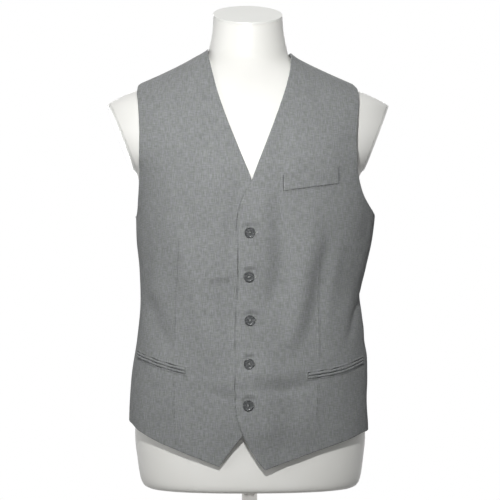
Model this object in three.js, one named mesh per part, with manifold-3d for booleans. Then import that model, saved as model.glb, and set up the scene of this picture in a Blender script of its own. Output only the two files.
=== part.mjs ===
// A tailored waistcoat, buttoned on a limbless dress form that stands on a short pole and a round base.
// Millimetres, +Z up. The front of the body faces -Y and the wearer's left is +X.
// The origin is on the surface that the base stands on, under the pole.

import * as THREE from "three";
import { mergeVertices } from "three/addons/utils/BufferGeometryUtils.js";
import Module from "manifold-3d";

// ---------- driving dimensions ----------

const STAND_HEIGHT = 140;          // from the floor to the underside of the form
const CLEARANCE = 0.3;             // gap kept between two pieces that touch

const FRONT_WALL = 2.0;            // suiting, canvas and lining together
const BACK_WALL = 1.5;
const OVERLAP = { rise: 2.9, fullTo: 18, goneAt: 50, fullBelow: 480, goneAbove: 560 };   // over the other front
const PATCH_WALL = 1.2;            // welt and jets
const PATCH_LIFT = 0.55;           // their underside above the front's own surface

const POLE_RADIUS = 12;
const BASE_RADIUS = 145;
const BASE_THICKNESS = 9;
const SOCKET_RADIUS = 40;
const SOCKET_THICKNESS = 8;
const SOCKET_ROOF = 3;             // solid metal over the pole's blind hole
const BOSS_RADIUS = 24;            // the collar that holds the foot of the pole
const BOSS_HEIGHT = 22;

const NECK_CUT = { height: 726, tilt: 21, span: 300 };       // at the middle of the neck; degrees, facing forward
const ARM_CUT = { x: 173, height: 482, lean: 21, toe: 3, tall: 220, wide: 400 };   // foot and angles in degrees
const BEYOND = 200;                // how far past a cut the cutting block reaches
const PLATE_THICKNESS = 3;

const BASE_EDGE = { foot: 1, rim: 3, top: 4 };               // the turned edge of the base plate
const BOSS_STEP = { flange: 3, foot: 7, waist: 4, neck: 5, lip: 6, bevel: 1 };
const SOCKET_EDGE = 2;

const BUTTON = { radius: 8, thickness: 3.2, rim: 1.5, dish: 0.9, holeRadius: 0.9, holeSpacing: 2.9 };
const BUTTON_EDGE = { foot: 1.4, belly: 1.1, shoulder: 0.8, crown: 0.7, slope: 1 };

const FORM_SIDES = 36;
const ROUND_SIDES = { button: 20, hole: 8, pole: 24, fitting: 32, base: 48 };
const NORMAL_STEP = { turn: 0.25, climb: 0.5 };   // degrees and height between the points that give a normal
const WELD_WITHIN = 1e-4;
const STEPS_PER_POINT = 6;         // how finely an edge is followed between two points of its table

const CLOTH = { color: 0x8b8e8e, roughness: 0.95, metalness: 0 };
const WELT_CLOTH = { color: 0x828585, roughness: 0.95, metalness: 0 };
const HORN = { color: 0x55585a, roughness: 0.45, metalness: 0 };
const SHELL = { color: 0xf2f2ee, roughness: 0.45, metalness: 0 };
const CAP = { color: 0xe2e3dd, roughness: 0.4, metalness: 0 };
const CHROME = { color: 0xc4c6c8, roughness: 0.15, metalness: 1 };

// ---------- tables of level sections ----------
// Heights are above the underside of the form. front and back are the reach from the plane y = 0,
// middle is the y of the widest point, and a squareness under 1 fills out the corners of an ellipse.

const FORM_SECTIONS = {
  columns: ["height", "half", "front", "back", "middle", "squareness"],
  rows: [
    [0, 158, 103, 110, 0, 0.84],
    [3, 164, 108, 115.5, 0, 0.84],
    [9, 168, 110.5, 118, 0, 0.84],
    [22, 171.5, 111.5, 119.5, 0, 0.84],
    [40, 174, 112, 120, 0, 0.84],
    [80, 178, 112, 120, 0, 0.84],
    [175, 165, 108, 106, 0, 0.84],
    [277, 147, 104, 90, 0, 0.86],
    [377, 158, 112, 99, 0, 0.86],
    [455, 167, 121, 112, 2, 0.86],
    [482, 173, 121, 114, 3, 0.88],
    [497, 190, 119, 115, 4, 0.9],
    [517, 209, 116, 115, 5, 0.92],
    [557, 228, 106, 109, 6, 0.95],
    [574, 226.5, 99.5, 104.5, 6, 0.96],
    [586, 222, 95, 101, 6, 0.97],
    [595, 209, 90.5, 96.5, 6, 0.97],
    [602, 195, 87, 93, 6, 0.97],
    [620, 150, 78, 84, 5, 0.97],
    [638, 109, 68.5, 73, 2, 0.98],
    [648, 88, 64.5, 68, 0, 1],
    [658, 70, 61, 63.5, -2, 1],
    [668, 62, 59.5, 58.5, -4, 1],
    [678, 59.8, 58.5, 54, -6, 1],
    [706, 54.7, 57, 45, -8, 1],
    [765, 52, 57, 39, -9, 1],
  ],
};

// The outside of the waistcoat. right and left are the wearer's, and they differ as it hangs.
const VEST_SECTIONS = {
  columns: ["height", "right", "left", "front", "back", "middle", "squareness"],
  rows: [
    [30, 187, 184, 120.5, 130, 0, 0.84],
    [103, 186, 184, 123.5, 130, 0, 0.84],
    [167, 182, 184, 122, 122, 0, 0.84],
    [232, 174, 179, 118.5, 110, 0, 0.85],
    [294, 169, 171.5, 117.5, 103, 0, 0.86],
    [337, 170, 180, 119.5, 105, 0, 0.86],
    [385, 174.5, 190, 123.5, 110, 0, 0.86],
    [424, 176, 194.5, 126.5, 115, 1, 0.86],
    [455, 181, 195.5, 127.5, 118, 2, 0.87],
    [482, 188, 197, 127.5, 120, 3, 0.88],
    [517, 214, 214, 121.5, 121, 5, 0.92],
    [557, 233, 232, 111, 115, 6, 0.95],
    [586, 226, 225, 100, 107, 6, 0.97],
    [602, 206, 202, 92, 99, 6, 0.97],
    [612, 189, 181, 87, 94, 6, 0.97],
    [620, 174, 164, 82.5, 90, 5, 0.97],
    [638, 134, 122.5, 73, 79, 2, 0.98],
    [654, 101.5, 88, 66, 70.5, -1, 1],
    [662, 87, 73, 64.5, 66.5, -3, 1],
    [670, 72.5, 63.5, 63, 63, -4, 1],
    [676, 65, 60.5, 62, 60, -5, 1],
    [690, 62, 59, 61, 55, -6, 1],
  ],
};

const LEAN = { base: 1.5, top: -3, height: 733 };   // the whole form leans a little to the wearer's right

// ---------- edges of the panels, as seen from the front: x, then height ----------
// An x of AT_SEAM is further out than the body, so that the point lands on the side or shoulder seam.

const AT_SEAM = 1000;

const FRONT_LEFT_EDGES = {
  inner: [
    [17.5, 37], [5, 52.5], [-7.5, 73.5], [-20, 101], [-25, 125], [-26.5, 170], [-25, 265], [-21.8, 335],
    [-24, 405], [-20.5, 426], [-2, 472], [16, 517], [30, 552], [43, 587], [53, 616], [59.5, 641],
    [61.5, 655], [AT_SEAM, 670],
  ],
  outer: [
    [AT_SEAM, 87], [AT_SEAM, 250], [AT_SEAM, 413], [193, 416.5], [188, 424], [169, 452], [160.5, 490],
    [159.5, 535], [163, 578], [166, 603], [165, 614], [AT_SEAM, 622],
  ],
  hem: [[17.5, 37], [86, 60], [141, 76.5], [174.5, 87], [AT_SEAM, 87]],
};

const FRONT_RIGHT_EDGES = {
  inner: [
    [-50.5, 41.5], [-33.5, 65], [-17, 86], [-1, 108], [9, 135], [12, 180], [12, 330], [14, 400], [13, 425],
    [-2, 472], [-13.5, 500], [-27, 534], [-40.5, 569], [-52, 605], [-61, 643], [-65.5, 666], [-AT_SEAM, 675.5],
  ],
  outer: [
    [-AT_SEAM, 102], [-AT_SEAM, 250], [-AT_SEAM, 413], [-174.5, 417], [-172.5, 430], [-170.5, 480],
    [-169.5, 535], [-171.5, 580], [-174, 604], [-172.5, 616], [-AT_SEAM, 622.5],
  ],
  hem: [[-50.5, 41.5], [-107, 63], [-145, 77.5], [-174.5, 93.5], [-183, 100.5], [-AT_SEAM, 102]],
};

// The backs are given the same way, seen through the body from the front.
const BACK_LEFT_EDGES = {
  inner: [[0, 92], [0, 250], [0, 400], [0, 550], [0, 655], [18, 656.5], [38, 661], [55, 667], [AT_SEAM, 670]],
  outer: [
    [AT_SEAM, 87], [AT_SEAM, 250], [AT_SEAM, 413], [192.5, 417], [186, 431], [171, 462], [166, 510],
    [165, 560], [166, 600], [164.5, 613], [AT_SEAM, 622],
  ],
  hem: [[0, 92], [90, 92], [150, 89], [AT_SEAM, 87]],
};

const BACK_RIGHT_EDGES = {
  inner: [[0, 92], [0, 250], [0, 400], [0, 550], [0, 655], [-18, 656.5], [-38, 661], [-57, 669], [-AT_SEAM, 675.5]],
  outer: [
    [-AT_SEAM, 102], [-AT_SEAM, 250], [-AT_SEAM, 413], [-174.3, 418], [-172, 436], [-168, 480], [-166, 530],
    [-168, 580], [-171, 604], [-170, 616], [-AT_SEAM, 622.5],
  ],
  hem: [[0, 92], [-90, 93], [-150, 97], [-AT_SEAM, 102]],
};

// ---------- what is sewn on the fronts ----------

const CHEST_WELT = { ends: [46, 129], foot: [453.5, 465], depth: 24.5 };
const HIP_MOUTHS = {
  left: [[83, 176.5], [134, 184], [171, 196]],
  right: [[-173, 205.5], [-140, 194], [-100.5, 184]],
};
const JET_DEPTH = 4.2;
const BUTTONS = [[-5, 391.5], [-6, 325.5], [-4.5, 260], [-6, 195], [-7.5, 134]];

// ---------- small helpers ----------

const radians = THREE.MathUtils.degToRad;

function smoothStep(value, from, to) {
  return THREE.MathUtils.smoothstep(value, from, to);
}

// A monotone cubic through the knots: it never swings past the numbers in the table.
function monotoneCurve(xs, ys) {
  const steps = xs.slice(1).map((x, i) => x - xs[i]);
  const slopes = steps.map((step, i) => (ys[i + 1] - ys[i]) / step);
  const tangents = xs.map((_, i) => {
    if (i === 0) return slopes[0];
    if (i === xs.length - 1) return slopes[i - 1];
    if (slopes[i - 1] * slopes[i] <= 0) return 0;
    const before = 2 * steps[i] + steps[i - 1];
    const after = steps[i] + 2 * steps[i - 1];
    return (before + after) / (before / slopes[i - 1] + after / slopes[i]);
  });
  return (x) => {
    const inside = Math.min(Math.max(x, xs[0]), xs[xs.length - 1]);
    let i = 0;
    while (i < xs.length - 2 && inside > xs[i + 1]) i += 1;
    const t = (inside - xs[i]) / steps[i];
    const rise = t * t * (3 - 2 * t);
    const enter = t * (1 - t) * (1 - t) * steps[i] * tangents[i];
    const leave = t * t * (t - 1) * steps[i] * tangents[i + 1];
    return ys[i] + (ys[i + 1] - ys[i]) * rise + enter + leave;
  };
}

function sectionCurves(table) {
  const heights = table.rows.map((row) => row[0]);
  const curves = {};
  table.columns.slice(1).forEach((name, i) => {
    curves[name] = monotoneCurve(heights, table.rows.map((row) => row[i + 1]));
  });
  return curves;
}

const form = sectionCurves(FORM_SECTIONS);
const vest = sectionCurves(VEST_SECTIONS);

function leanAt(height) {
  return LEAN.base + ((LEAN.top - LEAN.base) * height) / LEAN.height;
}

// A point of a level section. The angle is 0 at the front and 90 degrees at the wearer's left.
function sectionPoint(curves, side, angle, height) {
  const sine = Math.sin(angle);
  const cosine = Math.cos(angle);
  const power = curves.squareness(height);
  const middle = curves.middle(height);
  const across = side * Math.sign(sine) * Math.abs(sine) ** power;
  const reach = cosine >= 0 ? -(curves.front(height) + middle) : curves.back(height) - middle;
  return new THREE.Vector3(leanAt(height) + across, middle + reach * Math.abs(cosine) ** power, height);
}

function formPoint(angle, height) {
  return sectionPoint(form, form.half(height), angle, height);
}

function vestSide(angle, height) {
  return Math.sin(angle) >= 0 ? vest.left(height) - leanAt(height) : vest.right(height) + leanAt(height);
}

function vestPoint(angle, height) {
  return sectionPoint(vest, vestSide(angle, height), angle, height);
}

function vestNormal(angle, height) {
  const turn = radians(NORMAL_STEP.turn);
  const climb = NORMAL_STEP.climb;
  const around = vestPoint(angle + turn, height).sub(vestPoint(angle - turn, height));
  const up = vestPoint(angle, height + climb).sub(vestPoint(angle, height - climb));
  return around.cross(up).normalize();
}

// The angle at which the waistcoat's section reaches this x, on its front or on its back.
function angleAt(x, height, onBack) {
  const offset = x - leanAt(height);
  const side = vestSide(Math.sign(offset) * Math.PI / 2, height);
  const share = Math.min(Math.abs(offset) / side, 1);
  const angle = Math.sign(offset || 1) * Math.asin(share ** (1 / vest.squareness(height)));
  return onBack ? Math.sign(offset || 1) * Math.PI - angle : angle;
}

// ---------- cloth panels ----------

// Where an edge point is: its x is brought in to the side or shoulder seam at that height.
function edgeKnot([x, height]) {
  const side = Math.sign(x) * vestSide(Math.sign(x) * Math.PI / 2, height);
  const seam = leanAt(height) + side;
  const onSeam = Math.abs(x) >= AT_SEAM;
  return { x: onSeam ? seam : x, height, onSeam };
}

// An edge is a list of x and height. It becomes a smooth path of angle and height, run from 0 to 1.
// The curve is drawn through x and height first, so that it looks smooth from the front, and then turned
// into angles at many close points. Between two points on a seam it stays on the seam.
function edgePath(points, onBack, seamSign) {
  const coarse = points.map(edgeKnot);
  const places = coarse.map((_, i) => i);
  const alongX = monotoneCurve(places, coarse.map((knot) => knot.x));
  const alongHeight = monotoneCurve(places, coarse.map((knot) => knot.height));
  const knots = [];
  for (let i = 0; i <= (points.length - 1) * STEPS_PER_POINT; i += 1) {
    const place = i / STEPS_PER_POINT;
    const before = coarse[Math.floor(place)];
    const after = coarse[Math.ceil(place)];
    const x = alongX(place);
    const height = alongHeight(place);
    let angle = angleAt(x, height, onBack);
    if (before.onSeam && after.onSeam) angle = seamSign * Math.PI / 2;
    if (onBack && x === 0) angle = seamSign * Math.PI;
    else if (onBack && angle * seamSign < 0) angle += seamSign * 2 * Math.PI;   // just past the back seam
    knots.push({ angle, height });
  }
  const travelled = [0];
  for (let i = 1; i < knots.length; i += 1) {
    const here = vestPoint(knots[i].angle, knots[i].height);
    const there = vestPoint(knots[i - 1].angle, knots[i - 1].height);
    travelled.push(travelled[i - 1] + here.distanceTo(there));
  }
  const whole = travelled[travelled.length - 1];
  const shares = travelled.map((length) => length / whole);
  const angles = monotoneCurve(shares, knots.map((knot) => knot.angle));
  const heights = monotoneCurve(shares, knots.map((knot) => knot.height));
  return (share) => new THREE.Vector2(angles(share), heights(share));
}

// The patch between four edges: from hem to neck along inner and outer, joined by hem and shoulder seam.
function panelMap(edges, onBack, seamSign) {
  const inner = edgePath(edges.inner, onBack, seamSign);
  const outer = edgePath(edges.outer, onBack, seamSign);
  const hem = edgePath(edges.hem, onBack, seamSign);
  const neckPoint = inner(1);
  const tipPoint = outer(1);
  const hemStart = hem(0);
  const hemEnd = hem(1);
  return (across, up) => {
    const shoulder = neckPoint.clone().lerp(tipPoint, across);
    const sides = inner(up).lerp(outer(up), across);
    const ends = hem(across).lerp(shoulder, up);
    const corners = hemStart.clone().lerp(hemEnd, across).lerp(neckPoint.clone().lerp(tipPoint, across), up);
    return sides.add(ends).sub(corners);
  };
}

// How far the buttoned-over front is raised above the plain surface: fully over the other front.
function overlapRise(x, height) {
  const { rise, fullTo, goneAt, fullBelow, goneAbove } = OVERLAP;
  return rise * (1 - smoothStep(x, fullTo, goneAt)) * (1 - smoothStep(height, fullBelow, goneAbove));
}

function noRise() {
  return 0;
}

// A grid of rows and columns on both faces of a wall, closed along its four sides.
function wallGeometry(outerGrid, innerGrid, outwardFirst) {
  const rows = outerGrid.length;
  const columns = outerGrid[0].length;
  const positions = [];
  [outerGrid, innerGrid].forEach((grid) => {
    grid.forEach((row) => row.forEach((point) => positions.push(point.x, point.y, point.z)));
  });
  const at = (face, row, column) => face * rows * columns + row * columns + column;
  const indices = [];
  const quad = (a, b, c, d) => {
    if (outwardFirst) indices.push(a, b, c, a, c, d);
    else indices.push(a, c, b, a, d, c);
  };
  for (let row = 0; row < rows - 1; row += 1) {
    for (let column = 0; column < columns - 1; column += 1) {
      quad(at(0, row, column), at(0, row, column + 1), at(0, row + 1, column + 1), at(0, row + 1, column));
      quad(at(1, row, column), at(1, row + 1, column), at(1, row + 1, column + 1), at(1, row, column + 1));
    }
  }
  const last = { row: rows - 1, column: columns - 1 };
  for (let column = 0; column < last.column; column += 1) {
    quad(at(0, 0, column), at(1, 0, column), at(1, 0, column + 1), at(0, 0, column + 1));
    quad(at(0, last.row, column), at(0, last.row, column + 1), at(1, last.row, column + 1), at(1, last.row, column));
  }
  for (let row = 0; row < last.row; row += 1) {
    quad(at(0, row, 0), at(0, row + 1, 0), at(1, row + 1, 0), at(1, row, 0));
    quad(at(0, row, last.column), at(1, row, last.column), at(1, row + 1, last.column), at(0, row + 1, last.column));
  }
  const geometry = new THREE.BufferGeometry();
  geometry.setAttribute("position", new THREE.Float32BufferAttribute(positions, 3));
  geometry.setIndex(indices);
  return geometry;
}

// One panel: the surface's points moved out by the rise, with the wall inside them and half a gap at seams.
function panelGeometry({ edges, onBack = false, side, columns, rows, wall, rise = noRise }) {
  const map = panelMap(edges, onBack, side);
  const seamShift = (onBack ? 1 : -1) * CLEARANCE / 2;
  const outerGrid = [];
  const innerGrid = [];
  for (let row = 0; row <= rows; row += 1) {
    const outerRow = [];
    const innerRow = [];
    for (let column = 0; column <= columns; column += 1) {
      const place = map(column / columns, row / rows);
      const normal = vestNormal(place.x, place.y);
      const point = vestPoint(place.x, place.y);
      point.addScaledVector(normal, rise(point.x, place.y));
      const inside = point.clone().addScaledVector(normal, -wall);
      if (column === columns || row === rows) {
        point.y += seamShift;
        inside.y += seamShift;
      }
      if (onBack && column === 0) {
        point.x += side * CLEARANCE / 2;
        inside.x += side * CLEARANCE / 2;
      }
      outerRow.push(point);
      innerRow.push(inside);
    }
    outerGrid.push(outerRow);
    innerGrid.push(innerRow);
  }
  return wallGeometry(outerGrid, innerGrid, onBack ? side < 0 : side > 0);
}

// A patch that lies on a front: its foot line runs from end to end, and its depth is measured upwards.
function patchGeometry({ foot, depth, columns, rows, rise = noRise }) {
  const outerGrid = [];
  const innerGrid = [];
  for (let row = 0; row <= rows; row += 1) {
    const outerRow = [];
    const innerRow = [];
    for (let column = 0; column <= columns; column += 1) {
      const [x, footHeight] = foot(column / columns);
      const height = footHeight + (depth * row) / rows;
      const angle = angleAt(x, height, false);
      const normal = vestNormal(angle, height);
      const base = vestPoint(angle, height).addScaledVector(normal, rise(x, height) + PATCH_LIFT);
      innerRow.push(base);
      outerRow.push(base.clone().addScaledVector(normal, PATCH_WALL));
    }
    outerGrid.push(outerRow);
    innerGrid.push(innerRow);
  }
  return wallGeometry(outerGrid, innerGrid, true);
}

function straightFoot(ends, heights) {
  return (share) => [
    THREE.MathUtils.lerp(ends[0], ends[1], share),
    THREE.MathUtils.lerp(heights[0], heights[1], share),
  ];
}

function curvedFoot(points, lift) {
  const heights = monotoneCurve(points.map((point) => point[0]), points.map((point) => point[1]));
  const from = points[0][0];
  const to = points[points.length - 1][0];
  return (share) => {
    const x = THREE.MathUtils.lerp(from, to, share);
    return [x, heights(x) + lift];
  };
}

// ---------- the dress form ----------

const wasm = await Module();
wasm.setup();

function toSolid(geometry) {
  const bare = geometry.clone();
  bare.deleteAttribute("normal");
  bare.deleteAttribute("uv");
  const merged = mergeVertices(bare, WELD_WITHIN);
  const mesh = new wasm.Mesh({
    numProp: 3,
    vertProperties: new Float32Array(merged.attributes.position.array),
    triVerts: new Uint32Array(merged.index.array),
  });
  return new wasm.Manifold(mesh);
}

function toGeometry(solid) {
  const mesh = solid.getMesh();
  const geometry = new THREE.BufferGeometry();
  geometry.setAttribute("position", new THREE.BufferAttribute(new Float32Array(mesh.vertProperties), 3));
  geometry.setIndex(new THREE.BufferAttribute(new Uint32Array(mesh.triVerts), 1));
  return geometry;
}

function formLoft(sides) {
  const heights = FORM_SECTIONS.rows.map((row) => row[0]);
  const positions = [];
  heights.forEach((height) => {
    for (let i = 0; i < sides; i += 1) {
      const point = formPoint((2 * Math.PI * i) / sides, height);
      positions.push(point.x, point.y, point.z);
    }
  });
  const indices = [];
  for (let ring = 0; ring < heights.length - 1; ring += 1) {
    for (let i = 0; i < sides; i += 1) {
      const next = (i + 1) % sides;
      const low = ring * sides;
      const high = low + sides;
      indices.push(low + i, low + next, high + next, low + i, high + next, high + i);
    }
  }
  const bottomCentre = positions.length / 3;
  positions.push(leanAt(0), 0, 0);
  const topHeight = heights[heights.length - 1];
  positions.push(leanAt(topHeight), form.middle(topHeight), topHeight);
  const topRing = (heights.length - 1) * sides;
  for (let i = 0; i < sides; i += 1) {
    const next = (i + 1) % sides;
    indices.push(bottomCentre, next, i, bottomCentre + 1, topRing + i, topRing + next);
  }
  const geometry = new THREE.BufferGeometry();
  geometry.setAttribute("position", new THREE.Float32BufferAttribute(positions, 3));
  geometry.setIndex(indices);
  return geometry;
}

// A block that starts at a plane through `foot` and reaches outwards along `outward`.
function blockBeyond({ foot, outward, upward, from, to, tall, wide }) {
  const sideways = upward.clone().cross(outward).normalize();
  const block = new THREE.BoxGeometry(to - from, wide, tall);
  block.translate((from + to) / 2, 0, tall / 2);
  const turn = new THREE.Matrix4().makeBasis(outward, sideways, upward);
  turn.setPosition(foot);
  return block.applyMatrix4(turn);
}

function armFrame(side) {
  const lean = radians(ARM_CUT.lean);
  const toe = radians(ARM_CUT.toe);
  const outward = new THREE.Vector3(side * Math.cos(lean) * Math.cos(toe), -Math.sin(toe), -Math.sin(lean));
  outward.normalize();
  const upward = new THREE.Vector3(side * Math.sin(lean), 0, Math.cos(lean));
  upward.addScaledVector(outward, -upward.dot(outward)).normalize();
  const foot = new THREE.Vector3(leanAt(ARM_CUT.height) + side * ARM_CUT.x, 0, ARM_CUT.height);
  return { foot, outward, upward };
}

function armBlock(side, from, to) {
  return toSolid(blockBeyond({ ...armFrame(side), from, to, tall: ARM_CUT.tall, wide: ARM_CUT.wide }));
}

function neckBlock(from, to) {
  const { height, span } = NECK_CUT;
  const tilt = radians(NECK_CUT.tilt);
  const outward = new THREE.Vector3(0, -Math.sin(tilt), Math.cos(tilt));
  const upward = new THREE.Vector3(0, Math.cos(tilt), Math.sin(tilt));
  const foot = new THREE.Vector3(leanAt(height), form.middle(height), height);
  foot.addScaledVector(upward, -span / 2);
  return toSolid(blockBeyond({ foot, outward, upward, from, to, tall: span, wide: span }));
}

const loft = toSolid(formLoft(FORM_SIDES));
const torso = loft
  .subtract(armBlock(1, 0, BEYOND))
  .subtract(armBlock(-1, 0, BEYOND))
  .subtract(neckBlock(0, BEYOND));
const plateFrom = CLEARANCE;
const plateTo = CLEARANCE + PLATE_THICKNESS;

// ---------- buttons ----------

function buttonGeometry() {
  const { radius, thickness, rim, dish, holeRadius, holeSpacing } = BUTTON;
  const edge = BUTTON_EDGE;
  const profile = [
    [0, 0], [radius - edge.foot, 0], [radius, edge.belly], [radius, thickness - edge.shoulder],
    [radius - edge.crown, thickness], [radius - rim, thickness],
    [radius - rim - edge.slope, thickness - dish], [0, thickness - dish],
  ];
  const disc = new THREE.LatheGeometry(profile.map(([r, z]) => new THREE.Vector2(r, z)), ROUND_SIDES.button);
  disc.rotateX(Math.PI / 2);
  let button = toSolid(disc);
  for (let i = 0; i < 4; i += 1) {
    const angle = Math.PI / 4 + (i * Math.PI) / 2;
    const hole = new THREE.CylinderGeometry(holeRadius, holeRadius, 3 * thickness, ROUND_SIDES.hole);
    hole.rotateX(Math.PI / 2);
    hole.translate(Math.cos(angle) * holeSpacing / Math.SQRT2, Math.sin(angle) * holeSpacing / Math.SQRT2, 0);
    button = button.subtract(toSolid(hole));
  }
  return toGeometry(button);
}

function placeButton(mesh, [x, height]) {
  const angle = angleAt(x, height, false);
  const normal = vestNormal(angle, height);
  const lift = overlapRise(x, height) + 2 * CLEARANCE;
  mesh.position.copy(vestPoint(angle, height)).addScaledVector(normal, lift);
  mesh.quaternion.setFromUnitVectors(new THREE.Vector3(0, 0, 1), normal);
}

// ---------- stand ----------

function latheSolid(profile, segments) {
  const geometry = new THREE.LatheGeometry(profile.map(([r, z]) => new THREE.Vector2(r, z)), segments);
  return geometry.rotateX(Math.PI / 2);
}

function baseGeometry() {
  return latheSolid([
    [0, 0], [BASE_RADIUS - BASE_EDGE.foot, 0], [BASE_RADIUS, BASE_EDGE.foot],
    [BASE_RADIUS, BASE_THICKNESS - BASE_EDGE.rim], [BASE_RADIUS - BASE_EDGE.top, BASE_THICKNESS],
    [0, BASE_THICKNESS],
  ], ROUND_SIDES.base);
}

function bossGeometry() {
  const bore = POLE_RADIUS + CLEARANCE;
  const foot = BASE_THICKNESS + CLEARANCE;
  const top = foot + BOSS_HEIGHT;
  return latheSolid([
    [bore, foot], [BOSS_RADIUS, foot], [BOSS_RADIUS, foot + BOSS_STEP.flange],
    [BOSS_RADIUS - BOSS_STEP.waist, foot + BOSS_STEP.foot],
    [BOSS_RADIUS - BOSS_STEP.neck, top - BOSS_STEP.bevel], [BOSS_RADIUS - BOSS_STEP.lip, top], [bore, top], [bore, foot],
  ], ROUND_SIDES.fitting);
}

function socketGeometry() {
  const bore = POLE_RADIUS + CLEARANCE;
  return latheSolid([
    [0, -SOCKET_ROOF], [bore, -SOCKET_ROOF], [bore, -SOCKET_THICKNESS],
    [SOCKET_RADIUS - SOCKET_EDGE, -SOCKET_THICKNESS], [SOCKET_RADIUS, SOCKET_EDGE - SOCKET_THICKNESS],
    [SOCKET_RADIUS, -CLEARANCE], [0, -CLEARANCE],
  ], ROUND_SIDES.fitting);
}

function poleGeometry() {
  const foot = BASE_THICKNESS + CLEARANCE;
  const top = STAND_HEIGHT - SOCKET_ROOF - CLEARANCE;
  return new THREE.CylinderGeometry(POLE_RADIUS, POLE_RADIUS, top - foot, ROUND_SIDES.pole)
    .rotateX(Math.PI / 2)
    .translate(0, 0, (top + foot) / 2);
}

// ---------- the scene graph ----------

function named(name, geometry, look) {
  const mesh = new THREE.Mesh(geometry, new THREE.MeshStandardMaterial(look));
  mesh.name = name;
  return mesh;
}

const stand = new THREE.Group();
stand.add(named("base_plate", baseGeometry(), CHROME));
stand.add(named("pole_boss", bossGeometry(), CHROME));
stand.add(named("pole", poleGeometry(), CHROME));

const dressed = new THREE.Group();
dressed.position.z = STAND_HEIGHT;
dressed.add(named("form_socket", socketGeometry(), CHROME));
dressed.add(named("form_torso", toGeometry(torso), SHELL));
dressed.add(named("neck_cap", toGeometry(loft.intersect(neckBlock(plateFrom, plateTo))), CAP));
dressed.add(named("arm_plate_left", toGeometry(loft.intersect(armBlock(1, plateFrom, plateTo))), CAP));
dressed.add(named("arm_plate_right", toGeometry(loft.intersect(armBlock(-1, plateFrom, plateTo))), CAP));

dressed.add(named("front_left", panelGeometry({
  edges: FRONT_LEFT_EDGES, side: 1, columns: 13, rows: 26, wall: FRONT_WALL, rise: overlapRise,
}), CLOTH));
dressed.add(named("front_right", panelGeometry({
  edges: FRONT_RIGHT_EDGES, side: -1, columns: 13, rows: 26, wall: FRONT_WALL,
}), CLOTH));
dressed.add(named("back_left", panelGeometry({
  edges: BACK_LEFT_EDGES, onBack: true, side: 1, columns: 10, rows: 22, wall: BACK_WALL,
}), CLOTH));
dressed.add(named("back_right", panelGeometry({
  edges: BACK_RIGHT_EDGES, onBack: true, side: -1, columns: 10, rows: 22, wall: BACK_WALL,
}), CLOTH));

dressed.add(named("chest_welt", patchGeometry({
  foot: straightFoot(CHEST_WELT.ends, CHEST_WELT.foot), depth: CHEST_WELT.depth, columns: 8, rows: 2,
}), WELT_CLOTH));

["left", "right"].forEach((side) => {
  ["lower", "upper"].forEach((place, i) => {
    const lift = i === 0 ? -JET_DEPTH - CLEARANCE / 2 : CLEARANCE / 2;
    dressed.add(named(`hip_jet_${place}_${side}`, patchGeometry({
      foot: curvedFoot(HIP_MOUTHS[side], lift), depth: JET_DEPTH, columns: 10, rows: 1,
    }), WELT_CLOTH));
  });
});

BUTTONS.forEach((place, i) => {
  const button = named(`button_${i + 1}`, buttonGeometry(), HORN);
  placeButton(button, place);
  dressed.add(button);
});

const part = new THREE.Group();
part.add(stand, dressed);

export default part;
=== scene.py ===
# %% [markdown]
# # A tailored waistcoat on a dress form
# The waistcoat is flat cloth that was cut, pressed and shaped over a body. So this lesson builds it from
# the same level sections that the frame was built from, and then adds what cloth does: folds, pulls at
# the buttons, rolled edges, seams and a woven surface. The form and its stand are hard and smooth.

# %% Load the frame
import bpy
import math
import numpy as np
from mathutils import Matrix, Vector


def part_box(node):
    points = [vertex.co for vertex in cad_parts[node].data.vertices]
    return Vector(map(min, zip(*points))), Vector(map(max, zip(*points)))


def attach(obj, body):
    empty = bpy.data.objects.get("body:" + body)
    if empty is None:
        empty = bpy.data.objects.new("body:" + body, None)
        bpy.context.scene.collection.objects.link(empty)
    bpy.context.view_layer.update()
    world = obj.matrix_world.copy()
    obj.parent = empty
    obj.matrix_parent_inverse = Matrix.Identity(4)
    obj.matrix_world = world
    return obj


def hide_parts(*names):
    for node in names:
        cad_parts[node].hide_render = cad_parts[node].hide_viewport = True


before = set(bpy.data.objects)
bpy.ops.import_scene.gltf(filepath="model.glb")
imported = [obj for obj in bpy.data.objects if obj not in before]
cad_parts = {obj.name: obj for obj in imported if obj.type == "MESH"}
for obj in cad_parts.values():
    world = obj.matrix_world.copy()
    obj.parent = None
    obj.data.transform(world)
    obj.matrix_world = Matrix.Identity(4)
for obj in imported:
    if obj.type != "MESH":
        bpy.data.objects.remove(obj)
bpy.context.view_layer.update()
MM = 0.001
FORM_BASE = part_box("form_torso")[0].z          # underside of the form above the floor
print("frame loaded, form stands", round(FORM_BASE, 3), "m above the floor")

# %% [markdown]
# ## Sections and curves
# A body has no straight lines, but a short table of level sections describes it well. Each row gives the
# reach to the sides, the front and the back at one height. A monotone cubic joins the rows: unlike a
# common spline it never swings past a number in the table, so the waist can't get a false bulge.


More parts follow.
